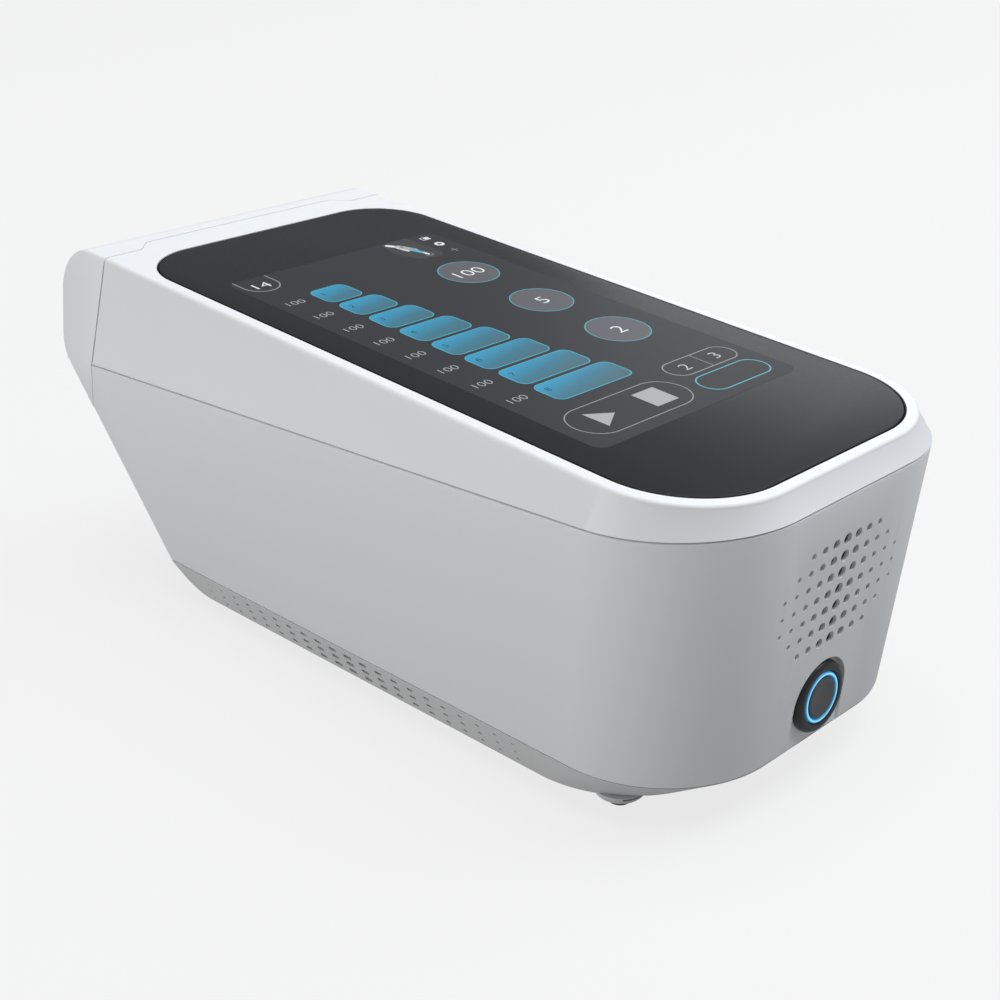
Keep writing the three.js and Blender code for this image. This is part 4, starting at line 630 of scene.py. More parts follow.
slit_outer = 8.4 * mm
slit_low = 4.15 * mm
slit_high = 4.85 * mm
screw_head_radius = 2.8 * mm
screw_seat_height = 6.7 * mm
screw_inset = 14.5 * mm
screw_setback = 14 * mm
pad_boxes = [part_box(f"foot_pad_{i}") for i in range(1, 5)]
foot_places = [((low.x + high.x) / 2, (low.y + high.y) / 2) for low, high in pad_boxes]


def band_form(inset, low, high):
    """The tray's tapered form between two heights, its walls moved in by inset."""
    def ring(z):
        share = (skirt_height - z) / (skirt_height - tray_low)
        half = half_width - (skirt_inset + (band_inset - skirt_inset) * share) - inset
        front = front_y + (skirt_setback + (band_setback - skirt_setback) * share) + inset
        return plan_outline(half, front, skirt_radius + (band_radius - skirt_radius) * share - inset, lambda y: z)
    solid = loft_solid([ring(low), ring(high)])
    return combine(solid, side_solid(inset, 0, max(low - tray_low, 0)), "INTERSECT")


def lathe(profile, sides):
    """A profile of (radius, height) pairs turned about z; its ends lie on the axis or it closes on itself."""
    work = bmesh.new()
    rings = []
    for radius, height in profile:
        if radius < tiny_length:
            rings.append([work.verts.new((0, 0, height))] * sides)
        else:
            rings.append([work.verts.new((a, b, height)) for a, b in circle_points(0, 0, radius, sides)])
    pairs = list(zip(rings, rings[1:]))
    if profile[0][0] >= tiny_length:
        pairs.append((rings[-1], rings[0]))
    for low, high in pairs:
        for i in range(sides):
            j = (i + 1) % sides
            work.faces.new(tuple(dict.fromkeys((low[i], low[j], high[j], high[i]))))
    bmesh.ops.recalc_face_normals(work, faces=work.faces)
    return solid_from(work)


def near(base_a, base_b, *steps):
    """Points given in millimetres from a base point."""
    return [(base_a + a * mm, base_b + b * mm) for a, b in steps]


def vent_bank(side):
    """All vents of one side as solids that cut through the sloping band."""
    slots = []
    for column in range(-vent_columns, vent_columns + 1):
        share = 1 + (vent_end_share - 1) * abs(column) / vent_columns
        reach, rise = vent_length * share / 2, vent_height * share / 2
        y = column * vent_pitch
        for row in range(1, vent_rows + 1):
            z = -row * vent_row_pitch
            slot = rounded_box(y - reach, z - rise, y + reach, z + rise, 2 * rise * vent_rounding, steps=4)
            slots.append(prism(slot, "x", -vent_depth, vent_depth))
    band_edge = Matrix.Translation((side * (half_width - skirt_inset), 0, skirt_height))
    return placed(joined(slots), band_edge @ Matrix.Rotation(side * band_lean, 4, "Y"))


tray_shell = round_edges(band_form(0, tray_low, band_top), band_edge_radius, 3, 25)
cut(tray_shell, band_form(wall, tray_low + tray_floor, band_top + overrun))
leg_low = pad_height + seam_gap
leg_rise = tray_low + tray_floor / 2 - leg_low - leg_tip_rise
leg_curve = [(0, leg_low), (leg_tip_radius - leg_tip_edge, leg_low)]
leg_curve += [
    (leg_tip_radius + (leg_radius - leg_tip_radius) * out, leg_low + leg_tip_rise + leg_rise * up)
    for out, up in quarter_turn(8)]
leg_curve += [(0, leg_curve[-1][1])]
for x, y in foot_places:
    combine(tray_shell, placed(lathe(leg_curve, 40), Matrix.Translation((x, y, 0))), "UNION")
for side in (-1, 1):
    cut(tray_shell, vent_bank(side))
# A short drain slit on the outer side of each leg
for x, y in foot_places:
    outward = atan2(copysign(1, y), copysign(1, x)) + slit_turn * copysign(1, x * y)
    slit = arc_points(x, y, slit_outer, outward - slit_half_turn, outward + slit_half_turn, 12)
    slit += arc_points(x, y, slit_inner, outward + slit_half_turn, outward - slit_half_turn, 12)
    cut(tray_shell, prism(slit, "z", slit_low, slit_high))
seat_places = [
    (copysign(half_width - screw_inset, x), y - copysign(screw_setback, y)) for x, y in foot_places]
for x, y in seat_places:
    shaft = circle_points(x, y, screw_head_radius + seam_gap, 40)
    cut(tray_shell, prism(shaft, "z", 0, screw_seat_height))
tray_finish = moulded("tray_grey", band_grey, 0.5, 3600.0, 0.00003)
settle(tray_shell, "tray_shell", tray_finish, "base_tray")

# Foot pads
# Four dark rubber discs pressed into the legs, with a rolled edge and a slightly dished sole.
pad_radius = 3.4 * mm
pad_edge = 0.5 * mm
pad_dish = 0.08 * mm
rubber_black = (0.018, 0.018, 0.02)
rubber_finish = moulded("pad_rubber", rubber_black, 0.62, 2600.0, 0.00005)
pad_curve = [(0, pad_dish), (pad_radius * 0.55, pad_dish), (pad_radius * 0.7, 0), (pad_radius - pad_edge, 0)]
pad_curve += [(pad_radius - pad_edge + pad_edge * out, pad_edge * up) for out, up in quarter_turn(5, 1)]
pad_curve += [(pad_radius, pad_height), (0, pad_height)]
for i, (x, y) in enumerate(foot_places, 1):
    pad = placed(lathe(pad_curve, 48), Matrix.Translation((x, y, 0)))
    settle(pad, f"rubber_pad_{i}", rubber_finish, f"foot_pad_{i}")

# Touch glass
# A 2 mm pane of hardened glass, printed black behind, with polished edges. It lies flush in the
# rim's pocket on a foam gasket, inside a thin black sealing lip.
glass_edge = 0.2 * mm
lip_width = 0.5 * mm
lip_drop = 0.2 * mm
glass_black = (0.020, 0.021, 0.024)
glass_specular = 0.28
glass_pane = round_edges(prism(glass_outline(-lip_width), "z", -glass_thickness, 0), glass_edge, 3, 60)
placed(glass_pane, top_frame)
glass_finish = moulded("black_glass", glass_black, 0.3, 900.0, 0.0000005, drift=0.15, specular=glass_specular)
settle(glass_pane, "glass_pane", glass_finish, "touch_glass")

# Screen picture
# What the lit display shows through the glass, made as thin layers on it: a paler field, eight
# level bars, three dials, the play and stop keys, two pills and the small signs at the rear.
layer_step = 0.02 * mm
line_width = 0.42 * mm
bar_left = -28.4 * mm
bar_first_right = -14.4 * mm
bar_growth = 2.47 * mm
bar_first_v = 168.7 * mm
bar_pitch = 13.5 * mm
bar_height = 12 * mm
bar_radius = 3.2 * mm
bar_count = 8
digit_widening = 1.25


def level(layer):
    """Low and high faces of a layer of the picture, counted up from the glass."""
    return (layer - 1) * layer_step - layer_step / 2, layer * layer_step


def sheet_shape(outline, layer):
    return prism(outline, "z", *level(layer))


def line_shape(outer, inner, layer):
    """A flat line between two outlines with the same number of points."""
    work = bmesh.new()
    low, high = level(layer)
    rows = [[work.verts.new((u, v, z)) for u, v in outline] for outline, z in (
        (outer, low), (outer, high), (inner, high), (inner, low))]
    for i, row in enumerate(rows):
        after = rows[(i + 1) % len(rows)]
        for a in range(len(row)):
            b = (a + 1) % len(row)
            work.faces.new((row[a], row[b], after[b], after[a]))
    bmesh.ops.recalc_face_normals(work, faces=work.faces)
    return solid_from(work)


def box_line(u_low, v_low, u_high, v_high, radius, layer, width=line_width):
    """The line round a rounded box that is given in millimetres."""
    sizes = [size * mm for size in (u_low, v_low, u_high, v_high, radius)]
    return line_shape(rounded_box(*sizes), rounded_box(*sizes, grow=-width), layer)


def box_sheet(u_low, v_low, u_high, v_high, radius, layer):
    """A filled rounded box that is given in millimetres."""
    return sheet_shape(rounded_box(*(size * mm for size in (u_low, v_low, u_high, v_high, radius))), layer)


def stroke(points, width, layer):
    """A round-ended line through points, as overlapping flat bars and discs."""
    parts = []
    for (u, v), (u2, v2) in zip(points, points[1:]):
        along = Vector((u2 - u, v2 - v)).normalized()
        side = Vector((-along.y, along.x)) * width / 2
        parts.append(sheet_shape([
            (u + side.x, v + side.y), (u - side.x, v - side.y),
            (u2 - side.x, v2 - side.y), (u2 + side.x, v2 + side.y)], layer))
    parts += [sheet_shape(circle_points(u, v, width / 2, 20), layer) for u, v in (points[0], points[-1])]
    return joined(parts)


def number(text, u, v, height, thin, layer):
    """Digits centred on a place of the glass, thinner and wider than the plain font."""
    curve = bpy.data.curves.new("number", "FONT")
    curve.body = text
    curve.size = height / 0.7
    curve.align_x = "CENTER"
    curve.align_y = "CENTER"
    curve.offset = -thin * height
    curve.extrude = layer_step / 2
    writer = add_object("number", curve)
    graph = bpy.context.evaluated_depsgraph_get()
    graph.update()
    mesh = bpy.data.meshes.new_from_object(writer.evaluated_get(graph))
    bpy.data.objects.remove(writer)
    spans = [[point.co[axis] for point in mesh.vertices] for axis in (0, 1)]
    middle = [(min(span) + max(span)) / 2 for span in spans]
    mesh.transform(
        Matrix.Translation((u, v, level(layer)[1] - layer_step / 2))
        @ Matrix.Diagonal((digit_widening, 1, 1, 1)) @ Matrix.Translation((-middle[0], -middle[1], 0)))
    return add_object("number", mesh)


def lit(name, colour, glow):
    """A screen colour: lit from within, under the glass's gloss."""
    material = moulded(name, colour, 0.3, 5000.0, 0.0000002, drift=0.06, specular=glass_specular)
    set_values(material.node_tree.nodes["Principled BSDF"], {
        "Emission Color": (*colour, 1.0), "Emission Strength": glow})
    return material


def show(name, shapes, material):
    settle(placed(joined(shapes), top_frame), name, material)


field_finish = lit("screen_field", (0.030, 0.031, 0.035), 0.2)
tile_finish = lit("screen_tile", (0.045, 0.046, 0.050), 0.25)
dial_finish = lit("dial_grey", (0.088, 0.088, 0.097), 0.4)
line_finish = lit("line_grey", (0.20, 0.20, 0.21), 0.5)
white_finish = lit("figure_white", (0.55, 0.56, 0.58), 0.5)
key_finish = lit("key_grey", (0.30, 0.30, 0.312), 0.4)
cyan_finish = lit("line_cyan", (0.07, 0.28, 0.32), 0.7)
mark_finish = lit("mark_dark", (0.01, 0.05, 0.075), 0.1)

show("screen_field", [box_sheet(-43.4, 40.8, 42.4, 194.9, 4.0, 1)], field_finish)

bars, bar_lines, bar_marks, bar_values = [], [], [], []
for i in range(bar_count):
    v = bar_first_v - i * bar_pitch
    sizes = (bar_left, v - bar_height / 2, bar_first_right + i * bar_growth, v + bar_height / 2, bar_radius)
    bars.append(sheet_shape(rounded_box(*sizes, grow=-line_width / 2), 2))
    bar_lines.append(line_shape(rounded_box(*sizes), rounded_box(*sizes, grow=-line_width), 3))
    bar_marks.append(number(str(i + 1), -25.2 * mm, v + 1.8 * mm, 2.3 * mm, 0.02, 3))
    bar_values.append(number("100", -36.4 * mm, v + (1.2 + 0.19 * i) * mm, 2.9 * mm, 0.02, 2))
show("bar_lines", bar_lines, lit("bar_edge", (0.05, 0.25, 0.33), 0.55))
show("bar_marks", bar_marks, mark_finish)
show("bar_values", bar_values, lit("value_grey", (0.32, 0.32, 0.335), 0.4))

# The bars fade from bright blue at their rear left corner to a grey teal at the front right
first_edge = (top_frame @ Vector((0, bar_first_v + bar_height / 2, 0))).y
bar_material, bar_tree, bar_shader = new_material("level_blue", {
    "Emission Strength": 0.3, "Roughness": 0.3, "Specular IOR Level": glass_specular})
place = add_node(bar_tree, "TexCoord")
parts = add_node(bar_tree, "SeparateXYZ")
across = add_node(bar_tree, "MapRange", {
    "From Min": bar_left, "From Max": bar_first_right + (bar_count - 1) * bar_growth, "To Min": 0.36, "To Max": 0.0})
along = add_node(bar_tree, "MapRange", {
    "From Min": first_edge, "From Max": first_edge - bar_pitch * cos(top_angle)}, clamp=False)
fraction = add_node(bar_tree, "Math", operation="FRACT")
rest = add_node(bar_tree, "Math", {1: -0.72}, operation="MULTIPLY_ADD")
total = add_node(bar_tree, "Math", {1: 0.7}, operation="ADD")
ramp = add_node(bar_tree, "ValToRGB")
ramp.color_ramp.elements[0].color = (0.062, 0.092, 0.094, 1.0)
ramp.color_ramp.elements[1].color = (0.031, 0.262, 0.440, 1.0)
ramp.color_ramp.elements.new(0.55).color = (0.040, 0.150, 0.215, 1.0)
wire(
    bar_tree,
    (place, "Object", parts, "Vector"), (parts, "X", across, "Value"), (parts, "Y", along, "Value"),
    (along, "Result", fraction, 0), (fraction, "Value", rest, 0), (across, "Result", rest, 2),
    (rest, "Value", total, 0), (total, "Value", ramp, "Fac"), (ramp, "Color", bar_shader, "Base Color"),
    (ramp, "Color", bar_shader, "Emission Color"))
show("level_bars", bars, bar_material)

dial_u = 24.65 * mm
dial_radius = 10.15 * mm
dials, dial_rings, dial_marks = [], [], []
for v, text in ((157.5 * mm, "100"), (125.3 * mm, "5"), (94.0 * mm, "2")):
    face = circle_points(dial_u, v, dial_radius - line_width, 64)
    dials.append(sheet_shape(face, 2))
    dial_rings.append(line_shape(circle_points(dial_u, v, dial_radius, 64), face, 3))
    dial_marks.append(number(text, dial_u, v - 0.3 * mm, 5.1 * mm, 0.014, 3))
show("dials", dials, dial_finish)
show("dial_rings", dial_rings, lit("ring_teal", (0.055, 0.205, 0.250), 0.7))
show("dial_marks", dial_marks, white_finish)

show("key_pill", [box_line(-38.9, 45.5, 5.6, 62.5, 8.5, 2, 0.36 * mm)], line_finish)
play_key = near(0, 0, (-30.6, 58.9), (-30.3, 49.3), (-22.7, 54.1))
show("keys", [sheet_shape(play_key, 2), box_sheet(-10.5, 49.3, -1.6, 58.9, 0.3, 2)], key_finish)

pill_divider = near(24.7 * mm, 0, (0, 57.7), (0, 67.2))
show("choice_pill", [
    box_line(9.6, 57.5, 38.6, 67.4, 4.95, 2), stroke(pill_divider, line_width * 0.8, 2),
], line_finish)
show("choice_marks", [
    number("2", 17.1 * mm, 62.3 * mm, 4.0 * mm, 0.015, 2), number("3", 30.9 * mm, 62.5 * mm, 4.1 * mm, 0.015, 2),
], lit("choice_white", (0.42, 0.42, 0.44), 0.4))
show("mode_pill", [box_line(9.6, 44.8, 38.0, 55.5, 5.35, 2)], cyan_finish)

badge_u = -35 * mm
badge_radius = 6.2 * mm
badge_line = [
    *near(badge_u - badge_radius, 0, (0, 194.6)),
    *arc_points(badge_u, 182.8 * mm + badge_radius, badge_radius, pi, 2 * pi, 24),
    *near(badge_u + badge_radius, 0, (0, 194.6))]
show("badge_line", [stroke(badge_line, line_width * 1.1, 2)], line_finish)
show("badge_mark", [number("14", badge_u, 188 * mm, 4.3 * mm, 0.012, 2)], white_finish)

# Small signs at the rear right: battery, settings ring, plus, and a lying figure on its tile
tile = near(0, 0, (20, 194.8), (17.6, 185), (20.5, 176.5), (29.5, 174.2), (32.2, 178), (31.4, 194.8))
show("figure_tile", [sheet_shape(tile, 2)], tile_finish)
gear_u, gear_v = 36.8 * mm, 183.8 * mm
show("rear_signs", [
    box_line(34.9, 189.3, 38.3, 191.9, 0.3, 2, 0.25 * mm),
    box_sheet(36.1, 189.8, 37.9, 191.4, 0.2, 2),
    line_shape(circle_points(gear_u, gear_v, 1.75 * mm, 64), circle_points(gear_u, gear_v, 0.8 * mm, 64), 2),
    stroke(near(0, 0, (21.3, 192.6), (23.2, 189.6)), 1.7 * mm, 3),
    stroke(near(0, 0, (22.4, 188.8), (23.4, 184.6)), 0.9 * mm, 3),
    stroke(near(0, 0, (26.4, 180.6), (26.6, 178.4)), 1.2 * mm, 4),
], white_finish)
show("plus_sign", [
    stroke(near(0, 0, (35.2, 176.5), (38.2, 176.5)), 0.3 * mm, 2),
    stroke(near(0, 0, (36.7, 175.0), (36.7, 178.0)), 0.3 * mm, 3),
], line_finish)
show("figure_body", [stroke(near(0, 0, (23.6, 189.4), (25.6, 184.4)), 3.0 * mm, 3)], key_finish)
show("figure_leg", [stroke(near(0, 0, (25.2, 184.2), (26.3, 180.6)), 1.9 * mm, 4)], cyan_finish)
foot_line = arc_points(26.6 * mm, 178.2 * mm, 1.5 * mm, pi * 1.05, pi * 2.1, 14)
show("figure_foot", [stroke(foot_line, 0.3 * mm, 3)], line_finish)

# Gasket and display
# A die-cut black foam frame sticks the glass to the deck. The display module hangs under it: a
# steel back with a pressed edge, bonded to the glass.


def refined(node, name, material, radius, body="pump_body", segments=2):
    """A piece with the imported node's form, whose hard edges get the small radius of the real part."""
    work = bmesh.new()
    work.from_mesh(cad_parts[node].data)
    bmesh.ops.remove_doubles(work, verts=work.verts, dist=0.002 * mm)
    bmesh.ops.dissolve_limit(work, angle_limit=radians(1), verts=work.verts, edges=work.edges)
    piece = solid_from(work)
    if radius:
        round_edges(piece, radius, segments, 50)
    settle(piece, name, material, node, body, 40)


foam = moulded("gasket_foam", (0.012, 0.012, 0.013), 0.85, 1600.0, 0.0002, drift=0.2)
refined("glass_gasket", "foam_frame", foam, 0.15 * mm)
sealing_lip = prism(glass_outline(0), "z", -glass_thickness, -lip_drop)
cut(sealing_lip, prism(glass_outline(-lip_width), "z", -2 * glass_thickness, 0))
lip_finish = moulded("lip_rubber", (0.004, 0.004, 0.0045), 0.7, 1600.0, 0.00005, specular=0.1)
settle(placed(sealing_lip, top_frame), "sealing_lip", lip_finish)
display_steel = moulded("display_back", (0.32, 0.33, 0.34), 0.34, 2200.0, 0.00002, metal=0.85)
refined("display_panel", "display_module", display_steel, 0.5 * mm)

# Power button
# A sealed push button: a black threaded barrel with a rounded bezel, clamped from behind by a brass
# nut. A blue light ring surrounds the metal cap, which travels 1.5 mm into the switch.
bezel_face_y = recess_floor_y - 2.65 * mm
bezel_radius = 10.6 * mm
bezel_flat_radius = 8.85 * mm
bezel_bore = 7.8 * mm
bezel_shoulder = 1.65 * mm
bezel_back = 2.35 * mm
barrel_radius = 9.4 * mm
barrel_end = 22.65 * mm
thread_start = 6.6 * mm
thread_turns = 15
thread_pitch = 1.0 * mm
thread_depth = 0.4 * mm
ring_outer = 7.5 * mm
ring_inner = 6.3 * mm
ring_depth = 3.7 * mm
cap_radius = 6.0 * mm
cap_thickness = 2 * mm
cap_dish = 0.25 * mm
stem_radius = 3 * mm
stem_end = 14 * mm
switch_start = 4.0 * mm
switch_end = 28 * mm
pin_length = 4 * mm
nut_radius = 13 * mm
nut_depth = 3.5 * mm
nut_start = 5.45 * mm
pin_spacing = 3.75 * mm
pin_half_width = 0.9 * mm
pin_half_height = 0.35 * mm
edge_blue = (0.012, 0.12, 0.24)
light_blue = (0.06, 0.33, 0.60)
middle_blue = (0.32, 0.72, 0.92)
button_place = Matrix.Translation((0, bezel_face_y, button_height))


def turned(profile, place, sides):
    """A profile of (radius, depth) pairs turned about an axis that runs along y from a place."""
    return placed(lathe(profile, sides), place @ Matrix.Rotation(-pi / 2, 4, "X"))


bezel_curve = near(bezel_bore, 0, (0, 0.6), (0.1, 0.2), (0.4, 0))
bezel_curve += [
    (bezel_flat_radius + (bezel_radius - bezel_flat_radius) * out, bezel_shoulder * back)
    for out, back in quarter_turn(8)]
bezel_curve += [(bezel_radius, bezel_back), (barrel_radius, bezel_back), (barrel_radius, thread_start)]
for i in range(thread_turns):
    depth = thread_start + i * thread_pitch
    bezel_curve += [(barrel_radius - thread_depth, depth + thread_pitch / 2), (barrel_radius, depth + thread_pitch)]
bezel_curve += [(barrel_radius, barrel_end), (bezel_bore, barrel_end)]
bezel_finish = moulded("bezel_black", (0.030, 0.031, 0.033), 0.38, 3400.0, 0.00001, coat=0.12, metal=0.3)
settle(turned(bezel_curve, button_place, 64), "bezel", bezel_finish, "button_bezel")

# The ring glows palest along its middle line and fades to blue at both edges
ring_finish, ring_tree, ring_shader = new_material("ring_light", {"Emission Strength": 0.8, "Roughness": 0.3})
place = add_node(ring_tree, "TexCoord")
offset = add_node(ring_tree, "VectorMath", {1: (1, 0, 1), 2: (0, 0, -button_height)}, operation="MULTIPLY_ADD")
distance = add_node(ring_tree, "VectorMath", operation="LENGTH")
across = add_node(ring_tree, "MapRange", {"From Min": ring_inner, "From Max": ring_outer})
ramp = add_node(ring_tree, "ValToRGB")
for element in ramp.color_ramp.elements:
    element.color = (*edge_blue, 1.0)
for position, colour in ((0.28, light_blue), (0.5, middle_blue), (0.72, light_blue)):
    ramp.color_ramp.elements.new(position).color = (*colour, 1.0)
wire(
    ring_tree,
    (place, "Object", offset, 0), (offset, "Vector", distance, 0), (distance, "Value", across, "Value"),
    (across, "Result", ramp, "Fac"), (ramp, "Color", ring_shader, "Base Color"),
    (ramp, "Color", ring_shader, "Emission Color"))
ring_curve = [
    (ring_inner, ring_depth), *near(ring_inner, 0, (0, 0.35), (0.15, 0.12)), ((ring_inner + ring_outer) / 2, 0),
    *near(ring_outer, 0, (-0.15, 0.12), (0, 0.35)), (ring_outer, ring_depth)]
settle(turned(ring_curve, button_place, 64), "light_ring", ring_finish, "button_light_ring")

cap_curve = [(cap_radius * 0.86 * i / 8, cap_dish * (1 - (i / 8) ** 2)) for i in range(9)]
cap_curve += near(cap_radius, 0, (-0.35, 0.02), (-0.1, 0.12), (0, 0.4))
cap_curve += [
    (cap_radius, cap_thickness), (stem_radius, cap_thickness), (stem_radius, stem_end), (0, stem_end)]
cap_finish = moulded("button_metal", (0.105, 0.109, 0.114), 0.34, 7000.0, 0.00001, metal=0.55, drift=0.05)
settle(turned(cap_curve, button_place, 64), "cap", cap_finish, "button_cap", "button_cap")

switch_bore = stem_radius + 0.3 * mm
switch_floor = stem_end + 1.8 * mm
switch_curve = [
    (0, switch_floor), (switch_bore, switch_floor), (switch_bore, switch_start),
    *near(ring_outer, switch_start, (-0.4, 0), (-0.05, 0.4)),
    *near(ring_outer, barrel_end, (-0.05, 0), (-0.7, 0.5)),
    *near(ring_outer, switch_end, (-0.7, -0.4), (-1.1, 0)), (0, switch_end)]
switch_finish = moulded("switch_black", (0.02, 0.02, 0.021), 0.5, 2600.0, 0.00003)
settle(turned(switch_curve, button_place, 48), "switch_case", switch_finish, "switch_body")
terminals = []
for i in (-1, 0, 1):
    blade = rounded_box(
        i * pin_spacing - pin_half_width, button_height - pin_half_height,
        i * pin_spacing + pin_half_width, button_height + pin_half_height, 0.15 * mm)
    start = bezel_face_y + switch_end
    terminals.append(prism(blade, "y", start, start + pin_length))
brass = moulded("nut_brass", (0.62, 0.46, 0.20), 0.3, 2400.0, 0.00002, metal=1.0, drift=0.1)
settle(joined(terminals), "switch_terminals", brass)

nut_end = nut_start + nut_depth
nut_outline = circle_points(0, button_height, nut_radius, 6)
nut = prism(nut_outline, "y", bezel_face_y + nut_start, bezel_face_y + nut_end)
nut_curve = [
    (0, nut_start - overrun), (nut_radius * 0.9, nut_start - overrun), (nut_radius * 0.9, nut_start),
    *near(nut_radius * 1.02, nut_start, (0, 0.9)), *near(nut_radius * 1.02, nut_end, (0, -0.9)),
    (nut_radius * 0.9, nut_end), (0, nut_end)]
combine(nut, turned(nut_curve, button_place, 48), "INTERSECT")
cut(nut, rod(0, button_height, front_y, front_y + 30 * mm, barrel_radius + 0.25 * mm, 48))
settle(nut, "bezel_nut", brass, "button_nut")

# Speaker
# A small sealed speaker glued behind the grille and its black cloth: a pressed steel basket, a
# paper cone with a rolled surround and a domed dust cap, and a ring magnet behind.
speaker_radius = 16.5 * mm
cone_radius = 13.5 * mm
magnet_radius = 8.44 * mm
basket_depth = 9 * mm
magnet_end = 16 * mm
speaker_place = wall_frame @ Matrix.Translation((0, wall + 0.3 * mm, -grille_drop))

basket_curve = [
    *near(0, magnet_end, (0, -3.5)), *near(magnet_radius / 2, magnet_end, (0, -3.5)),
    *near(magnet_radius / 2, basket_depth, (0, -1.5)), *near(magnet_radius, basket_depth, (-0.2, -1.5)),
    *near(cone_radius, 0, (0.3, 1.5), (0.3, 0.15), (0.5, 0)),
    *near(speaker_radius, 0, (-0.3, 0), (-0.05, 0.3), (-0.05, 1.2), (-0.4, 1.5)),
    *near(cone_radius, 0, (0.8, 1.5)), *near(magnet_radius, basket_depth, (0.6, -0.6), (0, 0)),
    *near(magnet_radius, magnet_end, (0, -0.5), (-0.5, 0)), (0, magnet_end)]
basket_finish = moulded("speaker_steel", (0.40, 0.41, 0.42), 0.36, 2600.0, 0.00002, metal=0.9, drift=0.08)
settle(turned(basket_curve, speaker_place, 56), "speaker_basket", basket_finish, "speaker_frame")

cloth = round_edges(cloth_form(cloth_depth, wall - 0.1 * mm, 0.1 * mm), 0.2 * mm, 2)
cloth_finish = moulded("black_cloth", (0.016, 0.016, 0.017), 0.9, 3200.0, 0.0001, drift=0.25)
settle(cloth, "grille_cloth", cloth_finish)

cone_curve = [
    *near(0, 0, (0, 2.6), (1.6, 2.8), (3.0, 3.6), (4.2, 5.1)), *near(magnet_radius, 0, (-0.8, 5.2)),
    *near(cone_radius, 0, (-3.4, 1.9), (-2.9, 1.0), (-2.2, 0.5), (-1.4, 0.4), (-0.7, 0.7), (-0.4, 1.2), (0, 1.2)),
    *near(cone_radius, 0, (0, 1.45), (-0.9, 1.45), (-1.5, 1.1), (-2.3, 1.2), (-2.8, 2.2)),
    *near(magnet_radius, 0, (-0.5, 5.9)), *near(0, 0, (4.0, 6.2)), *near(0, basket_depth, (3.8, 0), (0, 0))]
cone_finish = moulded("cone_paper", (0.035, 0.034, 0.033), 0.8, 1500.0, 0.0001, drift=0.3)
settle(turned(cone_curve, speaker_place, 56), "speaker_paper", cone_finish, "speaker_cone")

# Hose sockets
# Two moulded grey cups at the rear, clamped behind the cover by a flange. Each has four nipples
# that take one plug of a garment's hose, with barbs behind for the inner hoses.
socket_depth = 13 * mm
socket_wall = 1.6 * mm
socket_flange = 2.2 * mm
nipple_length = 6 * mm
nipple_pitch = 8.0 * mm
barb_radius = 2.2 * mm
barb_bore = 1.2 * mm
barb_length = 6.5 * mm
socket_face_y = rear_y - 0.3 * mm
socket_back_y = socket_face_y - socket_depth
flange_y = rear_y - wall - 0.3 * mm
socket_finish = moulded("socket_grey", (0.16, 0.165, 0.17), 0.42, 3000.0, 0.00003)
barb_start = socket_back_y - barb_length
nipple_tip = socket_back_y + socket_wall + nipple_length
barb_curve = [
    (0, barb_start),
    *near(barb_radius, barb_start, (-0.55, 0), (0, 1.6), (-0.45, 1.7), (0, 3.4), (-0.3, 3.5)),
    *near(barb_radius, socket_back_y, (-0.3, 0), (0, 0.4)),
    *near(barb_radius, nipple_tip, (0, -2.6), (-0.5, -2.4), (-0.5, -1.7), (0, -1.5), (0, -0.5), (-0.4, 0)),
    (0, nipple_tip)]
for side, label in ((-1, "left"), (1, "right")):
    x = side * socket_x
    cup = round_edges(prism(socket_outline(x, -0.05 * mm), "y", socket_back_y, socket_face_y), 0.3 * mm, 2, 60)
    flange = prism(socket_outline(x, socket_flange), "y", flange_y - socket_flange, flange_y)
    combine(flange, body_solid(wall + 0.3 * mm, wall + 0.3 * mm), "INTERSECT")
    combine(cup, flange, "UNION")
    cut(cup, prism(socket_outline(x, -socket_wall), "y", socket_back_y + socket_wall, rear_y))
    for i in range(4):
        barb_x = x + (i - 1.5) * nipple_pitch
        combine(cup, turned(barb_curve, Matrix.Translation((barb_x, 0, socket_height)), 32), "UNION")
        cut(cup, rod(barb_x, socket_height, barb_start - overrun, nipple_tip + overrun, barb_bore, 24))
    settle(cup, f"hose_cup_{label}", socket_finish, f"hose_socket_{label}")

# Charging inlet
# A round black power jack between the sockets: a barrel with a thin lip, held behind the cover by
# its flange, with a nickel centre pin.
inlet_bore = 4.3 * mm
inlet_depth = 11 * mm
inlet_length = 15 * mm
inlet_flange_radius = 7.4 * mm
inlet_pin_radius = 1 * mm
inlet_pin_length = 5 * mm
inlet_place = Matrix.Translation((0, 0, socket_height))
inlet_back = socket_face_y - inlet_length
inlet_floor = socket_face_y - inlet_depth
flange_back = flange_y - socket_flange
pin_end = inlet_floor + inlet_pin_length
inlet_curve = [
    (0, inlet_back), *near(inlet_radius, inlet_back, (-0.5, 0), (0, 0.5)), (inlet_radius, flange_back),
    *near(inlet_flange_radius, flange_back, (-0.3, 0), (-0.05, 0.3)),
    *near(inlet_flange_radius, flange_y, (-0.05, 0)), (inlet_radius, flange_y),
    *near(inlet_radius, socket_face_y, (0, -0.25), (-0.25, 0)),
    *near(inlet_bore, socket_face_y, (0.3, 0), (0, -0.4)), (inlet_bore, inlet_floor), (0, inlet_floor)]
inlet_finish = moulded("inlet_black", (0.022, 0.022, 0.023), 0.4, 3000.0, 0.00002)
settle(turned(inlet_curve, inlet_place, 56), "inlet_barrel", inlet_finish, "power_inlet")
pin_curve = [
    *near(0, inlet_floor, (0, -0.4)), *near(inlet_pin_radius, inlet_floor, (0, -0.4)),
    *near(inlet_pin_radius, pin_end, (0, -0.7), (-0.25, -0.2), (-0.6, 0)), (0, pin_end)]
nickel = moulded("nickel_bright", (0.62, 0.61, 0.58), 0.22, 2600.0, 0.00001, metal=1.0)
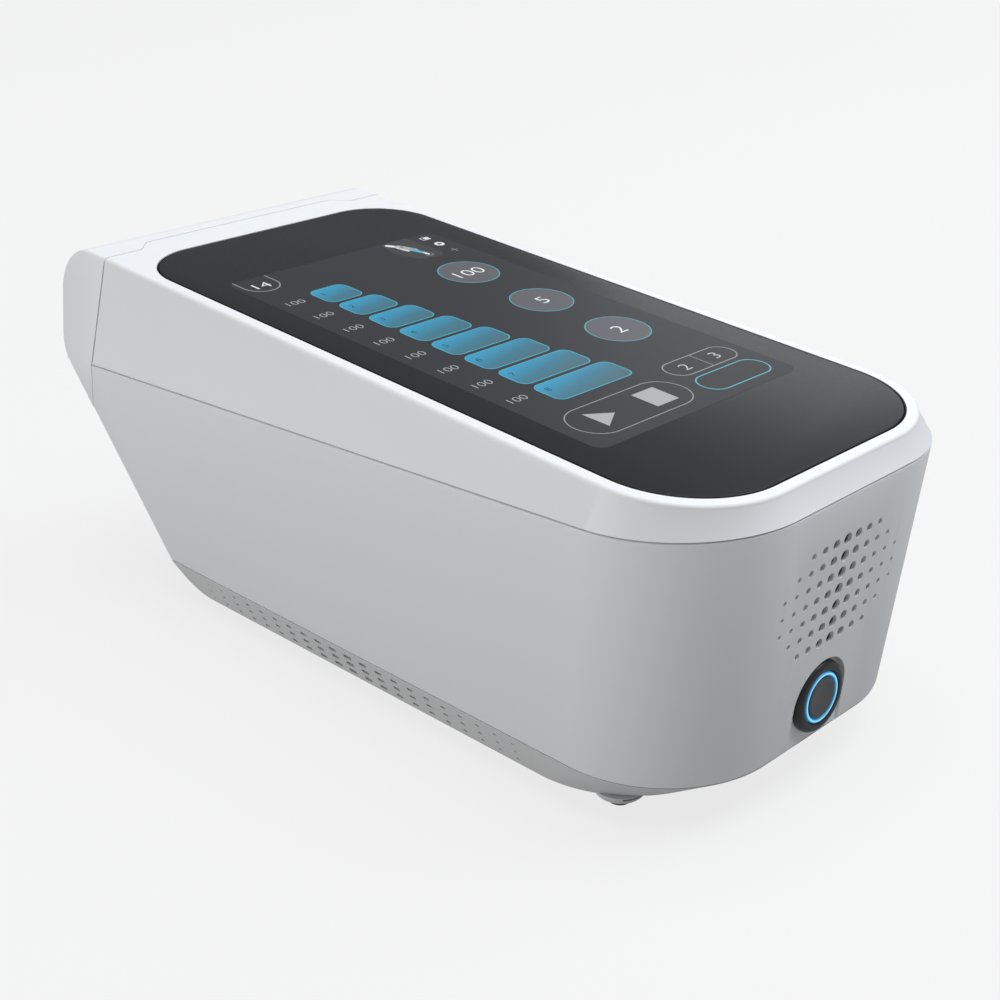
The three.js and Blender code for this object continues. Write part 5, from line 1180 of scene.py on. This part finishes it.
settle(turned(pin_curve, inlet_place, 32), "inlet_pin", nickel)

# Tray screws
# Four pan-head screws with cross recesses hold the tray to the seats of the lower housing.
head_height = 1.8 * mm
recess_arm = 1.7 * mm
recess_width = 0.62 * mm
recess_deep = 1.0 * mm
recess_turn = 0.3
screw_finish = moulded("screw_steel", (0.45, 0.46, 0.47), 0.28, 2600.0, 0.00001, metal=1.0, drift=0.08)
head_curve = [(0, 0), (screw_head_radius * 0.6, 0.05 * mm)]
head_curve += [
    (screw_head_radius * (0.6 + 0.4 * out), head_height * (0.05 + 0.6 * up)) for out, up in quarter_turn(6, 1)]
head_curve += [(screw_head_radius, head_height), (0, head_height)]
heads = []
for x, y in seat_places:
    head = lathe(head_curve, 40)
    for turn in (recess_turn, recess_turn + pi / 2):
        arm = Vector((cos(turn), sin(turn))) * recess_arm
        across = Vector((-arm.y, arm.x)).normalized() * recess_width / 2
        corners = [arm + across, across - arm, -arm - across, arm - across]
        cut(head, prism([(c.x, c.y) for c in corners], "z", -overrun, recess_deep))
    heads.append(placed(head, Matrix.Translation((x, y, screw_seat_height - head_height))))
settle(joined(heads), "tray_screws", screw_finish)

# Main board
# A green glass-fibre laminate with copper under its lacquer, hung from the deck by screws, with
# shield cans, coils and plugs on its under side.
pattern_group, pattern_in, pattern_out = node_group(
    "stripe_pattern",
    [("Scale", "Float", 500.0), ("Turn", "Vector", (0.0, 0.0, 0.0))],
    [("Height", "Float")])
place = add_node(pattern_group, "TexCoord")
mapping = add_node(pattern_group, "Mapping")
wave = add_node(pattern_group, "TexWave", {"Distortion": 0.15})
wire(
    pattern_group,
    (place, "Object", mapping, "Vector"), (pattern_in, "Turn", mapping, "Rotation"),
    (mapping, "Vector", wave, "Vector"), (pattern_in, "Scale", wave, "Scale"),
    (wave, "Fac", pattern_out, "Height"))


def striped(material, colour, dark, scale, turns, depth, strength=0.6):
    """Adds fine parallel stripes to a finish, in one or two directions, in colour and in height."""
    tree = material.node_tree
    shader = tree.nodes["Principled BSDF"]
    source, output = None, "Height"
    for turn in turns:
        stripes = add_node(tree, "Group", node_tree=pattern_group)
        set_values(stripes, {"Scale": scale, "Turn": turn})
        if source is None:
            source = stripes
            continue
        crossed = add_node(tree, "Math", operation="MULTIPLY")
        wire(tree, (source, output, crossed, 0), (stripes, "Height", crossed, 1))
        source, output = crossed, "Value"
    shade = add_node(tree, "Mix", data_type="RGBA")
    set_values(shade, {"A": (*dark, 1.0), "B": (*colour, 1.0)})
    bump = add_node(tree, "Bump", {"Distance": depth, "Strength": strength})
    wire(
        tree, (source, output, shade, "Factor"), (source, output, bump, "Height"),
        (shade, "Result", shader, "Base Color"), (bump, "Normal", shader, "Normal"))


board_green = (0.016, 0.11, 0.05)
board_dark = (0.010, 0.07, 0.032)
laminate = moulded("board_laminate", board_green, 0.36, 1200.0, 0.00002, coat=0.3, drift=0.4)
striped(laminate, board_green, board_dark, 95.0, [(0, 0, 0), (0, 0, pi / 2)], 0.00003, 0.3)
refined("main_board", "control_board", laminate, 0.25 * mm)

# Battery and strap
# Seven lithium cells in blue shrink wrap, lying in a cradle of the tray and held by a woven strap.
wrap = moulded("battery_wrap", (0.03, 0.10, 0.28), 0.3, 800.0, 0.00003, coat=0.2, drift=0.2)
refined("battery_pack", "battery", wrap, 0.6 * mm, segments=3)
webbing = moulded("strap_webbing", (0.02, 0.02, 0.022), 0.85, 1400.0, 0.0002, drift=0.3)
striped(webbing, (0.035, 0.035, 0.038), (0.012, 0.012, 0.013), 260.0,
        [(0, 0, pi / 4), (0, 0, -pi / 4)], 0.0003)
refined("battery_strap", "battery_webbing", webbing, 0.2 * mm)

# Compressor
# A swinging aluminium beam with a magnet, driven by two wound cores, works a rubber diaphragm in a
# cast head at each end. It is built on a pressed steel frame that stands on two rubber rails.
frame_steel = moulded("pressed_steel", (0.42, 0.43, 0.44), 0.35, 1500.0, 0.00002, metal=0.95, drift=0.1)
refined("compressor_frame", "compressor_chassis", frame_steel, 0.3 * mm)
core_iron = moulded("core_steel", (0.30, 0.30, 0.31), 0.45, 3000.0, 0.00004, metal=0.9, drift=0.2)
striped(core_iron, (0.32, 0.32, 0.33), (0.15, 0.15, 0.155), 330.0, [(0, pi / 2, 0)], 0.0002)
winding = moulded("copper_winding", (0.55, 0.24, 0.10), 0.32, 2600.0, 0.0001, metal=0.9, drift=0.2)
striped(winding, (0.60, 0.27, 0.11), (0.26, 0.10, 0.04), 420.0, [(0, 0, 0)], 0.0003)
aluminium = moulded("armature_aluminium", (0.60, 0.61, 0.62), 0.4, 2600.0, 0.00003, metal=1.0)
cast = moulded("cast_aluminium", (0.55, 0.56, 0.57), 0.5, 1500.0, 0.00008, metal=0.95, drift=0.1)
soft_rubber = moulded("soft_rubber", (0.02, 0.02, 0.021), 0.7, 2600.0, 0.00005, drift=0.2)
for label in ("left", "right"):
    refined(f"magnet_core_{label}", f"core_stack_{label}", core_iron, 0.2 * mm)
    refined(f"coil_{label}", f"winding_{label}", winding, 0.8 * mm, segments=3)
    refined(f"compressor_mount_{label}", f"rubber_rail_{label}", soft_rubber, 0.5 * mm)
for label in ("front", "rear"):
    refined(f"diaphragm_{label}", f"rubber_membrane_{label}", soft_rubber, 0.2 * mm)
    refined(f"pump_head_{label}", f"cast_head_{label}", cast, 0.35 * mm, segments=3)
refined("armature", "armature_beam", aluminium, 0.3 * mm, "armature")
refined("armature_magnet", "beam_magnet", nickel, 0.35 * mm, "armature")

# Air hoses
# Clear soft PVC hoses pushed over the barbs: one from each pump head to the manifold, and a bonded
# ribbon of four from the manifold to each socket.
hose = moulded("clear_hose", (0.62, 0.66, 0.68), 0.22, 900.0, 0.00001, coat=0.4, drift=0.06)
hose.node_tree.nodes["Principled BSDF"].inputs["Transmission Weight"].default_value = 0.45
for label in ("front", "rear"):
    refined(f"compressor_hose_{label}", f"pressure_hose_{label}", hose, 0)
for label in ("left", "right"):
    refined(f"outlet_hoses_{label}", f"hose_ribbon_{label}", hose, 0)

# Valve bank
# A dark glass-filled nylon manifold under the deck, and eight solenoid valves hanging from it, one
# for each air chamber. Each valve's steel plunger lifts 1 mm.
nylon = moulded("manifold_nylon", (0.12, 0.125, 0.13), 0.5, 2200.0, 0.00004, drift=0.15)
refined("valve_manifold", "air_manifold", nylon, 0.35 * mm)
resin = moulded("valve_resin", (0.55, 0.53, 0.46), 0.4, 2200.0, 0.00003, drift=0.1)
for i in range(1, 9):
    refined(f"valve_{i}", f"solenoid_{i}", resin, 0.35 * mm)
    refined(f"valve_plunger_{i}", f"plunger_pin_{i}", screw_finish, 0.15 * mm, f"plunger_{i}")

# Fan
# A 40 mm axial fan of black nylon, standing in a slot of the tray behind the right-hand vents.
fan_nylon = moulded("fan_black", (0.02, 0.02, 0.021), 0.45, 2600.0, 0.00004)
refined("fan_frame", "fan_housing", fan_nylon, 0.3 * mm)
refined("fan_rotor", "fan_blades", fan_nylon, 0.12 * mm, "fan_rotor")
